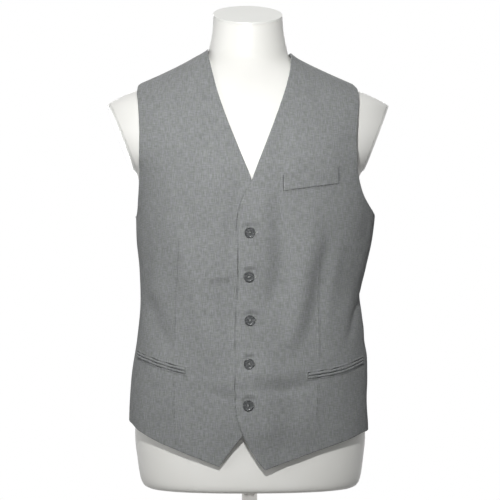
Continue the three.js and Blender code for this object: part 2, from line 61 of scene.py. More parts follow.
# %% Smooth curves through short tables
def monotone_curve(xs, ys):
    """A smooth function through the knots that stays between neighbouring values."""
    xs, ys = np.asarray(xs, float), np.asarray(ys, float)
    steps = np.diff(xs)
    slopes = np.diff(ys) / steps
    tangents = np.zeros(len(xs))
    tangents[0], tangents[-1] = slopes[0], slopes[-1]
    for i in range(1, len(xs) - 1):
        if slopes[i - 1] * slopes[i] > 0:
            before = 2 * steps[i] + steps[i - 1]
            after = steps[i] + 2 * steps[i - 1]
            tangents[i] = (before + after) / (before / slopes[i - 1] + after / slopes[i])

    def curve(x):
        inside = np.clip(x, xs[0], xs[-1])
        i = np.clip(np.searchsorted(xs, inside) - 1, 0, len(xs) - 2)
        t = (inside - xs[i]) / steps[i]
        rise = t * t * (3 - 2 * t)
        enter = t * (1 - t) ** 2 * steps[i] * tangents[i]
        leave = t * t * (t - 1) * steps[i] * tangents[i + 1]
        return ys[i] + (ys[i + 1] - ys[i]) * rise + enter + leave

    return curve


def section_curves(columns, rows):
    heights = [row[0] for row in rows]
    curves = {}
    for i, name in enumerate(columns[1:], 1):
        curves[name] = monotone_curve(heights, [row[i] for row in rows])
    return curves


def smooth_step(value, start, end):
    t = np.clip((value - start) / (end - start), 0, 1)
    return t * t * (3 - 2 * t)


# %% [markdown]
# ## The two bodies: the form, and the waistcoat round it
# These are the frame's own tables, in millimetres above the underside of the form. The waistcoat's two
# sides differ, because it hangs a little slack at the wearer's left armhole and close at the right one.

# %% Level sections of the form and of the waistcoat
FORM = section_curves(
    ["height", "half", "front", "back", "middle", "squareness"],
    [
        [0, 158, 103, 110, 0, 0.84], [3, 164, 108, 115.5, 0, 0.84], [9, 168, 110.5, 118, 0, 0.84],
        [22, 171.5, 111.5, 119.5, 0, 0.84], [40, 174, 112, 120, 0, 0.84], [80, 178, 112, 120, 0, 0.84],
        [175, 165, 108, 106, 0, 0.84],
        [277, 147, 104, 90, 0, 0.86], [377, 158, 112, 99, 0, 0.86], [455, 167, 121, 112, 2, 0.86],
        [482, 173, 121, 114, 3, 0.88], [497, 190, 119, 115, 4, 0.9], [517, 209, 116, 115, 5, 0.92],
        [557, 228, 106, 109, 6, 0.95], [574, 226.5, 99.5, 104.5, 6, 0.96], [586, 222, 95, 101, 6, 0.97],
        [595, 209, 90.5, 96.5, 6, 0.97], [602, 195, 87, 93, 6, 0.97], [620, 150, 78, 84, 5, 0.97],
        [638, 109, 68.5, 73, 2, 0.98], [648, 88, 64.5, 68, 0, 1], [658, 70, 61, 63.5, -2, 1],
        [668, 62, 59.5, 58.5, -4, 1], [678, 59.8, 58.5, 54, -6, 1], [706, 54.7, 57, 45, -8, 1],
        [765, 52, 57, 39, -9, 1],
    ],
)
VEST = section_curves(
    ["height", "right", "left", "front", "back", "middle", "squareness"],
    [
        [30, 187, 184, 120.5, 130, 0, 0.84], [103, 186, 184, 123.5, 130, 0, 0.84],
        [167, 182, 184, 122, 122, 0, 0.84], [232, 174, 179, 118.5, 110, 0, 0.85],
        [294, 169, 171.5, 117.5, 103, 0, 0.86], [337, 170, 180, 119.5, 105, 0, 0.86],
        [385, 174.5, 190, 123.5, 110, 0, 0.86], [424, 176, 194.5, 126.5, 115, 1, 0.86],
        [455, 181, 195.5, 127.5, 118, 2, 0.87], [482, 188, 197, 127.5, 120, 3, 0.88],
        [517, 214, 214, 121.5, 121, 5, 0.92], [557, 233, 232, 111, 115, 6, 0.95],
        [586, 226, 225, 100, 107, 6, 0.97], [602, 206, 202, 92, 99, 6, 0.97],
        [612, 189, 181, 87, 94, 6, 0.97], [620, 174, 164, 82.5, 90, 5, 0.97],
        [638, 134, 122.5, 73, 79, 2, 0.98], [654, 101.5, 88, 66, 70.5, -1, 1],
        [662, 87, 73, 64.5, 66.5, -3, 1], [670, 72.5, 63.5, 63, 63, -4, 1], [676, 65, 60.5, 62, 60, -5, 1],
        [690, 62, 59, 61, 55, -6, 1],
    ],
)
LEAN_BASE, LEAN_TOP, LEAN_HEIGHT = 1.5, -3, 733


def lean_at(height):
    return LEAN_BASE + (LEAN_TOP - LEAN_BASE) * height / LEAN_HEIGHT


def section_point(curves, side, angle, height):
    """Angle 0 is the front, a quarter turn the wearer's left. A squareness under 1 fills the corners."""
    sine, cosine = np.sin(angle), np.cos(angle)
    power, middle = curves["squareness"](height), curves["middle"](height)
    reach = np.where(cosine >= 0, -(curves["front"](height) + middle), curves["back"](height) - middle)
    x = lean_at(height) + side * np.sign(sine) * np.abs(sine) ** power
    y = middle + reach * np.abs(cosine) ** power
    return np.stack([x, y, height + 0 * x], axis=-1)


def form_point(angle, height):
    return section_point(FORM, FORM["half"](height), angle, height)


def vest_side(sine, height):
    left = VEST["left"](height) - lean_at(height)
    right = VEST["right"](height) + lean_at(height)
    return np.where(sine >= 0, left, right)


def vest_point(angle, height):
    return section_point(VEST, vest_side(np.sin(angle), height), angle, height)


def unit(vectors):
    return vectors / np.maximum(np.linalg.norm(vectors, axis=-1, keepdims=True), 1e-12)


NORMAL_TURN, NORMAL_CLIMB = math.radians(0.25), 0.5     # small steps that a normal is measured over


def vest_normal(angle, height):
    turn, climb = NORMAL_TURN, NORMAL_CLIMB
    around = vest_point(angle + turn, height) - vest_point(angle - turn, height)
    up = vest_point(angle, height + climb) - vest_point(angle, height - climb)
    return unit(np.cross(around, up))


def angle_at(x, height, on_back=False):
    """The angle at which the waistcoat's section reaches x, on its front or on its back."""
    offset = x - lean_at(height)
    way = np.where(offset >= 0, 1.0, -1.0)
    share = np.minimum(np.abs(offset) / vest_side(way, height), 1)
    angle = way * np.arcsin(share ** (1 / VEST["squareness"](height)))
    return way * math.pi - angle if on_back else angle


print("waist of the form", round(2 * float(FORM["half"](277))), "mm across")

# %% [markdown]
# ## Measuring along the cloth
# Folds, seams and the weave belong to the cloth and not to space, so they need a coordinate that runs
# along it. Adding up the short steps round each section gives that length once, in a table that every
# later cell looks up.

# %% Length along the cloth from the centre front
ARC_STEPS, ARC_CLIMB = 720, 6.0
ARC_ANGLES = np.linspace(-math.pi, math.pi, ARC_STEPS + 1)
ARC_HEIGHTS = np.arange(30, 692, ARC_CLIMB)


def arc_table():
    angles, heights = np.meshgrid(ARC_ANGLES, ARC_HEIGHTS)
    points = vest_point(angles, heights)
    steps = np.linalg.norm(np.diff(points, axis=1), axis=2)
    lengths = np.concatenate([np.zeros((len(ARC_HEIGHTS), 1)), np.cumsum(steps, axis=1)], axis=1)
    front = ARC_STEPS // 2
    return lengths - lengths[:, front:front + 1]


ARC = arc_table()


def table_value(table, angle, height):
    """A value between the table's rows and columns, held at its borders."""
    a = np.clip((angle + math.pi) / (2 * math.pi) * ARC_STEPS, 0, ARC_STEPS - 0.001)
    h = np.clip((height - ARC_HEIGHTS[0]) / ARC_CLIMB, 0, len(ARC_HEIGHTS) - 1.001)
    i, j = a.astype(int), h.astype(int)
    s, t = a - i, h - j
    low = table[j, i] * (1 - s) + table[j, i + 1] * s
    high = table[j + 1, i] * (1 - s) + table[j + 1, i + 1] * s
    return low * (1 - t) + high * t


def cloth_length(angle, height):
    """Millimetres along the section from the centre front, positive towards the wearer's left."""
    return table_value(ARC, angle, height)


def back_length(angle, height):
    """The same, measured from the centre back, so that a fold can cross the back seam."""
    edge = np.where(angle >= 0, math.pi, -math.pi)
    return table_value(ARC, edge, height) - table_value(ARC, angle, height)


chest_row = int(np.searchsorted(ARC_HEIGHTS, 420))
print("chest round the cloth", round(float(ARC[chest_row, -1] - ARC[chest_row, 0])), "mm")

# %% [markdown]
# ## Folds
# Worn cloth is never even. Each fold here is a soft trough or ridge along a short path,
# with its own width and depth. A bell curve across the path and a taper at both ends keep it soft. Cloth
# simulation could make folds too, but it wouldn't put them where a waistcoat that is drawn to one side
# has them: from the slack armhole down to the waist, and small pulls round each button.

# %% The folds, one row each
# depth in millimetres (in is negative), half width, then the path: x and height as seen from the front.
FRONT_FOLDS = [
    ("trough beside the buttons", -6.6, 17, [(30, 466), (38, 410), (43, 350), (33, 300), (12, 262)]),
    ("long roll to the last button", 5.0, 17,
     [(88, 440), (90, 384), (76, 316), (68, 265), (52, 226), (22, 196)]),
    ("trough below the welt", -3.8, 14,
     [(126, 402), (114, 366), (103, 325), (95, 285), (84, 250), (68, 222)]),
    ("roll along the dart", 1.0, 9, [(136, 372), (126, 335), (117, 290), (110, 236)]),
    ("trough outside the dart", -0.8, 11, [(148, 372), (140, 335), (132, 295)]),
    ("waist break", -3.4, 9, [(172, 300), (163, 274), (153, 246), (143, 216)]),
    ("above the break", 1.6, 11, [(158, 312), (148, 286), (138, 256)]),
    ("fall past the break", -2.0, 17, [(182, 276), (180, 246), (176, 212)]),
    ("armhole hollow", -1.2, 14, [(176, 440), (172, 400), (168, 360)]),
    ("roll above the drag line", 1.7, 10, [(-12, 182), (24, 178), (60, 182), (90, 192)]),
    ("drag line", -2.6, 9, [(-10, 158), (26, 156), (66, 160), (96, 166)]),
    ("hip swell", 1.4, 24, [(60, 128), (110, 116)]),
    ("fall to the side", -2.5, 30, [(186, 210), (184, 160), (180, 110)]),
    ("swell beside the opening", 7.5, 46, [(16, 216), (14, 130), (18, 60)]),
    ("hollow at the opening", -4.2, 14, [(-18, 466), (-24, 430), (-28, 385), (-30, 350)]),
    ("roll left of the opening", 1.4, 14, [(-44, 490), (-54, 440), (-56, 390)]),
    ("long roll to the point", 6.4, 23, [(-104, 400), (-94, 350), (-82, 292), (-64, 235), (-34, 180)]),
    ("hollow along the opening", -5.2, 17, [(-42, 335), (-36, 285), (-28, 230)]),
    ("hollow over the hip", -5.4, 19, [(-160, 300), (-142, 248), (-116, 206)]),
    ("drag line to the last button", -1.6, 7, [(-66, 152), (-44, 146), (-22, 142)]),
    ("roll above it", 1.2, 8, [(-72, 168), (-46, 163), (-22, 160)]),
    ("fine drag", -0.6, 5, [(-68, 314), (-48, 316), (-28, 318)]),
    ("fine roll", 0.6, 4, [(-68, 322), (-48, 324), (-28, 327)]),
    ("right waist crease", -0.7, 6, [(-158, 322), (-120, 314), (-84, 316)]),
    ("right side hollow", -1.6, 12, [(-160, 410), (-158, 360), (-156, 310)]),
    ("right chest roll", 1.0, 18, [(-112, 470), (-122, 410), (-128, 350)]),
    ("right hip swell", 1.0, 24, [(-130, 150), (-128, 110)]),
    ("right lapel hollow", -0.9, 14, [(-50, 540), (-44, 500)]),
    ("left lapel hollow", -1.4, 13, [(52, 560), (40, 510), (30, 470)]),
    ("shoulder dip, right", -1.4, 13, [(-92, 632), (-108, 600), (-118, 560)]),
    ("shoulder dip, left", -1.2, 13, [(88, 622), (104, 590), (112, 550)]),
]
BACK_FOLDS = [
    ("left blade hollow", -2.8, 17, [(60, 560), (66, 500), (64, 430)]),
    ("right blade hollow", -2.4, 18, [(-58, 548), (-66, 490), (-62, 420)]),
    ("left back fold", -4.8, 13, [(92, 400), (86, 340), (74, 280), (66, 230)]),
    ("left back roll", 3.2, 15, [(116, 405), (112, 345), (100, 280), (92, 230)]),
    ("right back fold", -4.2, 13, [(-88, 390), (-80, 330), (-72, 275), (-70, 220)]),
    ("right back roll", 3.0, 15, [(-114, 400), (-106, 335), (-98, 270), (-94, 225)]),
    ("small of the back, upper", -3.0, 9, [(-58, 300), (-10, 292), (40, 300)]),
    ("small of the back, roll", 2.4, 9, [(-66, 278), (-8, 270), (52, 280)]),
    ("small of the back, lower", -2.8, 9, [(-48, 252), (8, 246), (70, 256)]),
    ("left side break", -2.4, 12, [(168, 268), (148, 252), (126, 226), (116, 190)]),
    ("left side roll", 1.6, 14, [(166, 318), (140, 300), (112, 286)]),
    ("right side break", -2.6, 10, [(-166, 290), (-146, 278), (-124, 262)]),
    ("seat swell", 1.4, 30, [(60, 140), (40, 110)]),
]
BUTTON_PLACES = [(-5, 391.5), (-6, 325.5), (-4.5, 260), (-6, 195), (-7.5, 134)]


def smooth_path(points, count=24):
    """A fine path through given points, by a monotone curve in each coordinate along the way."""
    points = np.asarray(points, float)
    steps = np.linalg.norm(np.diff(points, axis=0), axis=1)
    travelled = np.concatenate([[0], np.cumsum(steps)])
    fine = np.linspace(0, travelled[-1], count)
    return np.stack([monotone_curve(travelled, points[:, k])(fine) for k in range(2)], axis=1)


FAR_OFF = 1e9
FOLD_TAPER, FOLD_END = 0.28, 0.2        # share of the path that fades, and what is left at its very end
FOLD_REACH = 4                          # widths, past which a fold is too faint to count


def off_path(along, height, path):
    """For each segment of a path: how far each point is from it, and where on the whole path that is."""
    for i in range(len(path) - 1):
        a, d = path[i], path[i + 1] - path[i]
        t = np.clip(((along - a[0]) * d[0] + (height - a[1]) * d[1]) / (d @ d), 0, 1)
        gap = np.hypot(along - a[0] - t * d[0], height - a[1] - t * d[1])
        yield gap, (i + t) / (len(path) - 1)


def fold_lift(along, height, path, depth, width):
    """The lift of one fold at points of the cloth, given by their length along it and their height."""
    reach = FOLD_REACH * width
    near = (along > path[:, 0].min() - reach) & (along < path[:, 0].max() + reach)
    near &= (height > path[:, 1].min() - reach) & (height < path[:, 1].max() + reach)
    distance, place = np.full(along.shape, FAR_OFF), np.zeros_like(along)
    if not near.any():
        return np.zeros_like(along)
    best, where = distance[near], place[near]
    for gap, share in off_path(along[near], height[near], path):
        closer = gap < best
        best = np.where(closer, gap, best)
        where = np.where(closer, share, where)
    distance[near], place[near] = best, where
    fade = smooth_step(place, 0, FOLD_TAPER) * smooth_step(1 - place, 0, FOLD_TAPER)
    ends = fade * (1 - FOLD_END) + FOLD_END
    return depth * np.exp(-((distance / width) ** 2)) * ends


def along_cloth(points, on_back=False):
    """Points given as x and height become length along the cloth and height."""
    points = np.asarray(points, float)
    angles = angle_at(points[:, 0], points[:, 1], on_back)
    measure = back_length if on_back else cloth_length
    return np.stack([measure(angles, points[:, 1]), points[:, 1]], axis=1)


def button_pulls(x, height):
    """A worked buttonhole is stiffer than the cloth round it, which rolls above it and dips close by."""
    return [
        (1.3, 4.5, [(x - 12, height + 13), (x + 2, height + 16), (x + 18, height + 13)]),
        (-2.6, 3.6, [(x - 7, height + 7), (x + 2, height + 10), (x + 11, height + 6)]),
        (-0.8, 6.0, [(x - 10, height), (x + 15, height + 1)]),
        (0.6, 6.0, [(x - 9, height - 13), (x + 21, height - 16)]),
    ]


def placed_folds():
    rows = [fold[1:] for fold in FRONT_FOLDS]
    for x, height in BUTTON_PLACES:
        rows += button_pulls(x, height)
    front = [(smooth_path(along_cloth(path)), depth, width) for depth, width, path in rows]
    back = []
    for _, depth, width, path in BACK_FOLDS:
        back.append((smooth_path(along_cloth(path, True)), depth, width))
    return front, back


FOLDS_FRONT, FOLDS_BACK = placed_folds()
# waves round the body, wave length up the body in millimetres, size in millimetres, start
WAVES = [
    (5, 310, 0.30, 0.4), (9, -190, 0.26, 2.1), (14, 240, 0.18, 1.2),
    (21, -150, 0.13, 4.0), (31, 98, 0.08, 0.7),
]


def unevenness(angle, height):
    """Long slow waves of a few tenths of a millimetre, so that no stretch of cloth is perfectly even."""
    total = np.zeros_like(angle)
    for around, upwards, size, start in WAVES:
        total += size * np.sin(around * angle + 2 * math.pi * height / upwards + start)
    return total


def cloth_lift(angle, height):
    """All that moves the cloth off its plain section: folds, pulls and slow waves, in millimetres."""
    lift = unevenness(angle, height)
    along, behind = cloth_length(angle, height), back_length(angle, height)
    for path, depth, width in FOLDS_FRONT:
        lift += fold_lift(along, height, path, depth, width)
    for path, depth, width in FOLDS_BACK:
        lift += fold_lift(behind, height, path, depth, width)
    return lift


OVERLAP_RISE = 2.9
OVERLAP_ENDS = dict(x=(18, 50), height=(480, 560))      # where the rise dies away


def overlap_rise(x, height):
    """The left front lies over the right one, so it is lifted clear where they overlap."""
    across = 1 - smooth_step(x, *OVERLAP_ENDS["x"])
    return OVERLAP_RISE * across * (1 - smooth_step(height, *OVERLAP_ENDS["height"]))


print(len(FOLDS_FRONT), "folds on the front,", len(FOLDS_BACK), "on the back")

# %% [markdown]
# ## Panels
# A waistcoat's front is one shaped panel between four edges: the opening, the hem, the side with its
# armhole, and the shoulder seam. A Coons patch fills four curved edges with an even grid. That suits
# cloth better than a boolean cut, because the grid's own edge is the finished edge and can be rounded.

# %% The edges of the four panels, in millimetres: x as seen from the front, then height
AT_SEAM = 1000
PANELS = {
    "front_left": dict(
        side=1, on_back=False, wall=2.0,
        inner=[(17.5, 37), (5, 52.5), (-7.5, 73.5), (-20, 101), (-25, 125), (-26.5, 170),
               (-25, 265), (-21.8, 335), (-24, 405), (-20.5, 426), (-2, 472), (16, 517),
               (30, 552), (43, 587), (53, 616), (59.5, 641), (61.5, 655), (AT_SEAM, 670)],
        outer=[(AT_SEAM, 87), (AT_SEAM, 250), (AT_SEAM, 413), (193, 416.5), (188, 424), (169, 452),
               (160.5, 490), (159.5, 535), (163, 578), (166, 603), (165, 614), (AT_SEAM, 622)],
        hem=[(17.5, 37), (86, 60), (141, 76.5), (174.5, 87), (AT_SEAM, 87)],
    ),
    "front_right": dict(
        side=-1, on_back=False, wall=2.0,
        inner=[(-50.5, 41.5), (-33.5, 65), (-17, 86), (-1, 108), (9, 135), (12, 180), (12, 330), (14, 400),
               (13, 425), (-2, 472), (-13.5, 500), (-27, 534), (-40.5, 569), (-52, 605), (-61, 643),
               (-65.5, 666), (-AT_SEAM, 675.5)],
        outer=[(-AT_SEAM, 102), (-AT_SEAM, 250), (-AT_SEAM, 413), (-174.5, 417), (-172.5, 430),
               (-170.5, 480), (-169.5, 535), (-171.5, 580), (-174, 604), (-172.5, 616),
               (-AT_SEAM, 622.5)],
        hem=[(-50.5, 41.5), (-107, 63), (-145, 77.5), (-174.5, 93.5), (-183, 100.5), (-AT_SEAM, 102)],
    ),
    "back_left": dict(
        side=1, on_back=True, wall=1.5,
        inner=[(0, 92), (0, 250), (0, 400), (0, 550), (0, 655), (18, 656.5), (38, 661), (55, 667),
               (AT_SEAM, 670)],
        outer=[(AT_SEAM, 87), (AT_SEAM, 250), (AT_SEAM, 413), (192.5, 417), (186, 431), (171, 462),
               (166, 510), (165, 560), (166, 600), (164.5, 613), (AT_SEAM, 622)],
        hem=[(0, 92), (90, 92), (150, 89), (AT_SEAM, 87)],
    ),
    "back_right": dict(
        side=-1, on_back=True, wall=1.5,
        inner=[(0, 92), (0, 250), (0, 400), (0, 550), (0, 655), (-18, 656.5), (-38, 661), (-57, 669),
               (-AT_SEAM, 675.5)],
        outer=[(-AT_SEAM, 102), (-AT_SEAM, 250), (-AT_SEAM, 413), (-174.3, 418), (-172, 436), (-168, 480),
               (-166, 530), (-168, 580), (-171, 604), (-170, 616), (-AT_SEAM, 622.5)],
        hem=[(0, 92), (-90, 93), (-150, 97), (-AT_SEAM, 102)],
    ),
}


# %% Four edges to one patch
def edge_path(points, on_back, side, steps_per_point=6):
    """A smooth path of angle and height along an edge, run from 0 to 1.

    The curve is drawn through x and height first, so that it looks smooth from the front, and then turned
    into angles at many close points. Between two points on a seam it stays on the seam.
    """
    xs, heights = np.array([p[0] for p in points], float), np.array([p[1] for p in points], float)
    on_seam = np.abs(xs) >= AT_SEAM
    seam_x = lean_at(heights) + np.sign(xs) * vest_side(np.sign(xs), heights)
    xs = np.where(on_seam, seam_x, xs)
    places = np.arange(len(points))
    fine = np.arange((len(points) - 1) * steps_per_point + 1) / steps_per_point
    x, height = monotone_curve(places, xs)(fine), monotone_curve(places, heights)(fine)
    angles = angle_at(x, height, on_back)
    before, after = np.floor(fine).astype(int), np.ceil(fine).astype(int)
    angles = np.where(on_seam[before] & on_seam[after], side * math.pi / 2, angles)
    if on_back:
        angles = np.where(angles * side < 0, angles + side * 2 * math.pi, angles)
        angles = np.where(x == 0, side * math.pi, angles)
    spots = vest_point(angles, height)
    travelled = np.concatenate([[0], np.cumsum(np.linalg.norm(np.diff(spots, axis=0), axis=1))])
    shares = travelled / travelled[-1]
    turn, climb = monotone_curve(shares, angles), monotone_curve(shares, height)
    return lambda share: np.stack([turn(share), climb(share)], axis=-1)


def panel_map(inner, outer, hem, on_back, side, **_):
    """The Coons patch of a panel: across runs from the opening to the side, up from hem to shoulder."""
    inner, outer, hem = (edge_path(points, on_back, side) for points in (inner, outer, hem))
    neck, tip, start, end = inner(1.0), outer(1.0), hem(0.0), hem(1.0)

    def place(across, up):
        u, v = across[..., None], up[..., None]
        sides = inner(up) * (1 - u) + outer(up) * u
        shoulder = neck * (1 - u) + tip * u
        ends = hem(across) * (1 - v) + shoulder * v
        corners = (start * (1 - u) + end * u) * (1 - v) + shoulder * v
        return sides + ends - corners

    return place


def grid_shares(place, columns, rows, inset):
    """Even shares for a grid that stops `inset` short of every edge, to leave room for a rolled edge."""
    u, v = np.meshgrid(np.linspace(0, 1, columns + 1), np.linspace(0, 1, rows + 1))
    spots = place(u, v)
    points = vest_point(spots[..., 0], spots[..., 1])
    wide = np.linalg.norm(np.diff(points, axis=1), axis=2).sum(axis=1)[:, None]
    tall = np.linalg.norm(np.diff(points, axis=0), axis=2).sum(axis=0)[None, :]
    cut_u, cut_v = inset / wide, inset / tall
    return cut_u + (1 - 2 * cut_u) * u, cut_v + (1 - 2 * cut_v) * v


# %% [markdown]
# ## Seam lines and painted shade
# A dart is a thin fold sewn to a point, and all that shows of it is a line. The welt and the jets are
# sewn into the front along lines too, and a pocket's mouth is a narrow gap between its jets. The shade in
# these grooves and gaps, and the shadow that the left front's edge casts on the right front below it, are
# far finer than the mesh, so they are painted into the cloth's colour as dark lines. Each vertex stores
# only its distance to the nearest line. Distance changes evenly from vertex to vertex, so the material can
# draw a crisp line of painted shade from it later.

# %% Where the sewn lines and the painted shadow line run, in x and height
CHEST_WELT = dict(ends=(46, 129), foot=(453.5, 465), depth=24.5)
HIP_MOUTHS = {
    "left": [(83, 176.5), (134, 184), (171, 196)],
    "right": [(-173, 205.5), (-140, 194), (-100.5, 184)],
}
JET_DEPTH = 4.2
JET_SEAM = 0.5          # from a jet's edge to the line that it is sewn along
DARTS = [
    [(-109, 391), (-111, 330), (-114, 303), (-118, 208)],
    [(-118, 176), (-117, 130), (-116, 82)],
    [(101.5, 381), (100.6, 281), (100, 209), (99, 192)],
    [(98, 168), (97, 140), (95, 112)],
]


def mouth_height(side, x):
    points = HIP_MOUTHS[side]
    return monotone_curve([p[0] for p in points], [p[1] for p in points])(x)


def jet_box(side):
    xs = np.linspace(HIP_MOUTHS[side][0][0], HIP_MOUTHS[side][-1][0], 12)
    reach = JET_DEPTH + JET_SEAM
    lower = [(x, mouth_height(side, x) - reach) for x in xs]
    upper = [(x, mouth_height(side, x) + reach) for x in xs]
    return lower, upper


# how dark each line is drawn: for a dart the seam together with the painted shade of its groove; PLAIN_LINE
# is the painted shade round the welt and the painted shadow under the left front's edge
DART_LINE, PLAIN_LINE = 0.8, 1.0
# painted shade in the grooves round each jet and in the pocket mouth between the jets
JET_LINES = dict(lower=1.5, upper=1.7, mouth=1.8, ends=1.2)


def seam_and_shadow_lines():
    """Each dark line with its strength, and whether it fades out at its ends: seams drawn with the painted
    shade of their grooves and gaps, and the painted shadow under the left front's edge.
    """
    lines = [(dart, DART_LINE, True) for dart in DARTS]
    # painted shadow: a dark line on the right front just beside the edge of the left front, which lies over
    # it and shades it
    opening = [(x - 0.9, height) for x, height in PANELS["front_left"]["inner"][2:11]]
    lines.append((smooth_path(opening, 60), PLAIN_LINE, True))
    # the welt's foot and ends: dark lines of painted shade in the grooves where it is sewn down
    (left, right), (low, high), depth = CHEST_WELT["ends"], CHEST_WELT["foot"], CHEST_WELT["depth"]
    foot = [(left + (right - left) * t, low + (high - low) * t - 0.6) for t in np.linspace(0, 1, 9)]
    near_end = [(left - 0.6, low - 0.4), (left - 0.8, low + depth - 1)]
    far_end = [(right + 0.6, high - 0.4), (right + 0.8, high + depth - 1)]
    lines += [(path, PLAIN_LINE, False) for path in (foot, near_end, far_end)]
    # round each jet and along each pocket mouth: dark lines of painted shade in the grooves and in the gap
    for side in HIP_MOUTHS:
        lower, upper = jet_box(side)
        mouth = [(x, mouth_height(side, x)) for x, _ in lower]
        for path, place in ((lower, "lower"), (upper, "upper"), (mouth, "mouth")):
            lines.append((path, JET_LINES[place], False))
        lines += [([lower[end], upper[end]], JET_LINES["ends"], False) for end in (0, -1)]
    return [(along_cloth(points), strength, soft) for points, strength, soft in lines]


NO_SHADED_LINE = 12.0          # millimetres, past which no line shows
SHADED_LINE_FADE = 0.15        # share of a soft line that fades at either end


def seam_and_shadow_field(along, height):
    """Distance to the nearest dark line, and how strongly its painted shade shows there."""
    nearest, strength = np.full(along.shape, NO_SHADED_LINE), np.zeros_like(along)
    for path, firmness, soft_ends in seam_and_shadow_lines():
        for gap, share in off_path(along, height, path):
            fade = 1.0
            if soft_ends:
                fade = smooth_step(np.minimum(share, 1 - share), 0, SHADED_LINE_FADE)
            closer = gap < nearest
            strength = np.where(closer, firmness * fade, strength)
            nearest = np.where(closer, gap, nearest)
    return nearest, strength


print(len(seam_and_shadow_lines()), "sewn lines on the fronts")

# %% [markdown]
# ## From a grid to a shell with rolled edges
# Real cloth edges are turned under and pressed, so they are round. The shell below has an outer and an
# inner face, joined round the rim by a half circle of small steps. A Solidify modifier would give square
# rims, and a Bevel on top of it would have to guess which edges to round.


# %% Closed cloth shells
def rim_order(rows, columns):
    """The grid's border as one loop of (row, column), counter-clockwise seen from outside."""
    bottom = [(0, c) for c in range(columns)]
    right = [(r, columns) for r in range(rows)]
    top = [(rows, c) for c in range(columns, 0, -1)]
    left = [(r, 0) for r in range(rows, 0, -1)]
    return bottom + right + top + left


def make_object(name, vertices, faces, uvs=None, values=None):
    mesh = bpy.data.meshes.new(name)
    mesh.from_pydata((np.asarray(vertices) * MM).tolist(), [], faces)
    mesh.polygons.foreach_set("use_smooth", [True] * len(mesh.polygons))
    if uvs is not None:
        layer = mesh.uv_layers.new(name="cloth")
        corner = np.zeros(len(mesh.loops), int)
        mesh.loops.foreach_get("vertex_index", corner)
        layer.data.foreach_set("uv", (np.asarray(uvs)[corner] * MM).ravel())
    for key, numbers in (values or {}).items():
        layer = mesh.attributes.new(key, "FLOAT", "POINT")
        layer.data.foreach_set("value", np.asarray(numbers, float))
    mesh.update()
    obj = bpy.data.objects.new(name, mesh)
    bpy.context.scene.collection.objects.link(obj)
    return obj


def shell(name, outer, wall, uv, flip, values=None, roll_steps=4):
    """outer is a grid of points of the outside face, already inset by half the wall's thickness."""
    rows, columns = outer.shape[0] - 1, outer.shape[1] - 1
    across, up = np.gradient(outer, axis=1), np.gradient(outer, axis=0)
    normal = unit(np.cross(across, up)) * (-1 if flip else 1)
    inner = outer - normal * wall
    rim = rim_order(rows, columns)
    rim_rows, rim_columns = (np.array(k) for k in zip(*rim))
    edge, edge_normal = outer[rim_rows, rim_columns], normal[rim_rows, rim_columns]
    run = unit(np.roll(edge, -1, axis=0) - np.roll(edge, 1, axis=0)) * (-1 if flip else 1)
    outward = unit(np.cross(run, edge_normal))
    radius = wall / 2
    vertices = [outer.reshape(-1, 3), inner.reshape(-1, 3)]
    for step in range(1, roll_steps):
        turn = math.pi * step / roll_steps
        ring = edge + outward * radius * math.sin(turn) - edge_normal * radius * (1 - math.cos(turn))
        vertices.append(ring)
    size = (rows + 1) * (columns + 1)
    index = np.arange(size).reshape(rows + 1, columns + 1)
    rim_index = index[rim_rows, rim_columns]
    source = np.concatenate([index.ravel(), index.ravel()] + [rim_index] * (roll_steps - 1))
    a, b = index[:-1, :-1].ravel(), index[:-1, 1:].ravel()
    c, d = index[1:, 1:].ravel(), index[1:, :-1].ravel()
    quads = [np.stack([a, b, c, d], 1), np.stack([a, d, c, b], 1) + size]
    loops = [rim_index]
    loops += [2 * size + len(rim) * k + np.arange(len(rim)) for k in range(roll_steps - 1)]
    loops += [rim_index + size]
    for low, high in zip(loops[:-1], loops[1:]):
        quads.append(np.stack([low, high, np.roll(high, -1), np.roll(low, -1)], 1))
    faces = np.concatenate(quads)
    if flip:
        faces = faces[:, ::-1]
    vertices = np.concatenate(vertices)
    vertices[:, 2] += FORM_BASE / MM
    spread = {key: numbers.ravel()[source] for key, numbers in (values or {}).items()}
    return make_object(name, vertices, faces.tolist(), uv.reshape(-1, 2)[source], spread)


SEAM_GAP = 0.15         # half the gap between two panels that meet
FRONT_GRID, BACK_GRID = (140, 300), (100, 220)


def panel_shell(name, node, columns, rows):
    cut = PANELS[node]
    place = panel_map(**cut)
    u, v = grid_shares(place, columns, rows, cut["wall"] / 2 + SEAM_GAP)
    spots = place(u, v)
    angle, height = spots[..., 0], spots[..., 1]
    points, normal = vest_point(angle, height), vest_normal(angle, height)
    lift = cloth_lift(angle, height)
    if node == "front_left":
        lift = lift + overlap_rise(points[..., 0], height)
    points = points + normal * lift[..., None]
    flip = cut["side"] < 0 if not cut["on_back"] else cut["side"] > 0
    along = cloth_length(angle, height)
    # distance to the nearest dark line and its strength, which the material turns into painted shade and
    # painted shadow
    distance, strength = seam_and_shadow_field(along, height)
    values = {"seam_and_shadow_distance": distance, "seam_and_shadow_strength": strength}
    piece = shell(name, points, cut["wall"], np.stack([along, height], axis=-1), flip, values)
    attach(piece, "root")
    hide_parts(node)
    return piece


panels = {}
for node, cut in PANELS.items():
    grid = BACK_GRID if cut["on_back"] else FRONT_GRID
    panels[node] = panel_shell(f"{node}_cloth", node, *grid)
    print(node, len(panels[node].data.vertices), "vertices")


# %% [markdown]
# ## Welt and jets
# The breast pocket of a waistcoat ends in a welt: a folded strip set in upright, sewn down along its
# foot and its two ends and open along the top. Each hip pocket is a slit with a narrow folded strip, a
# jet, on either side. All lie on the front, so they are made from the front's own points, moved out.


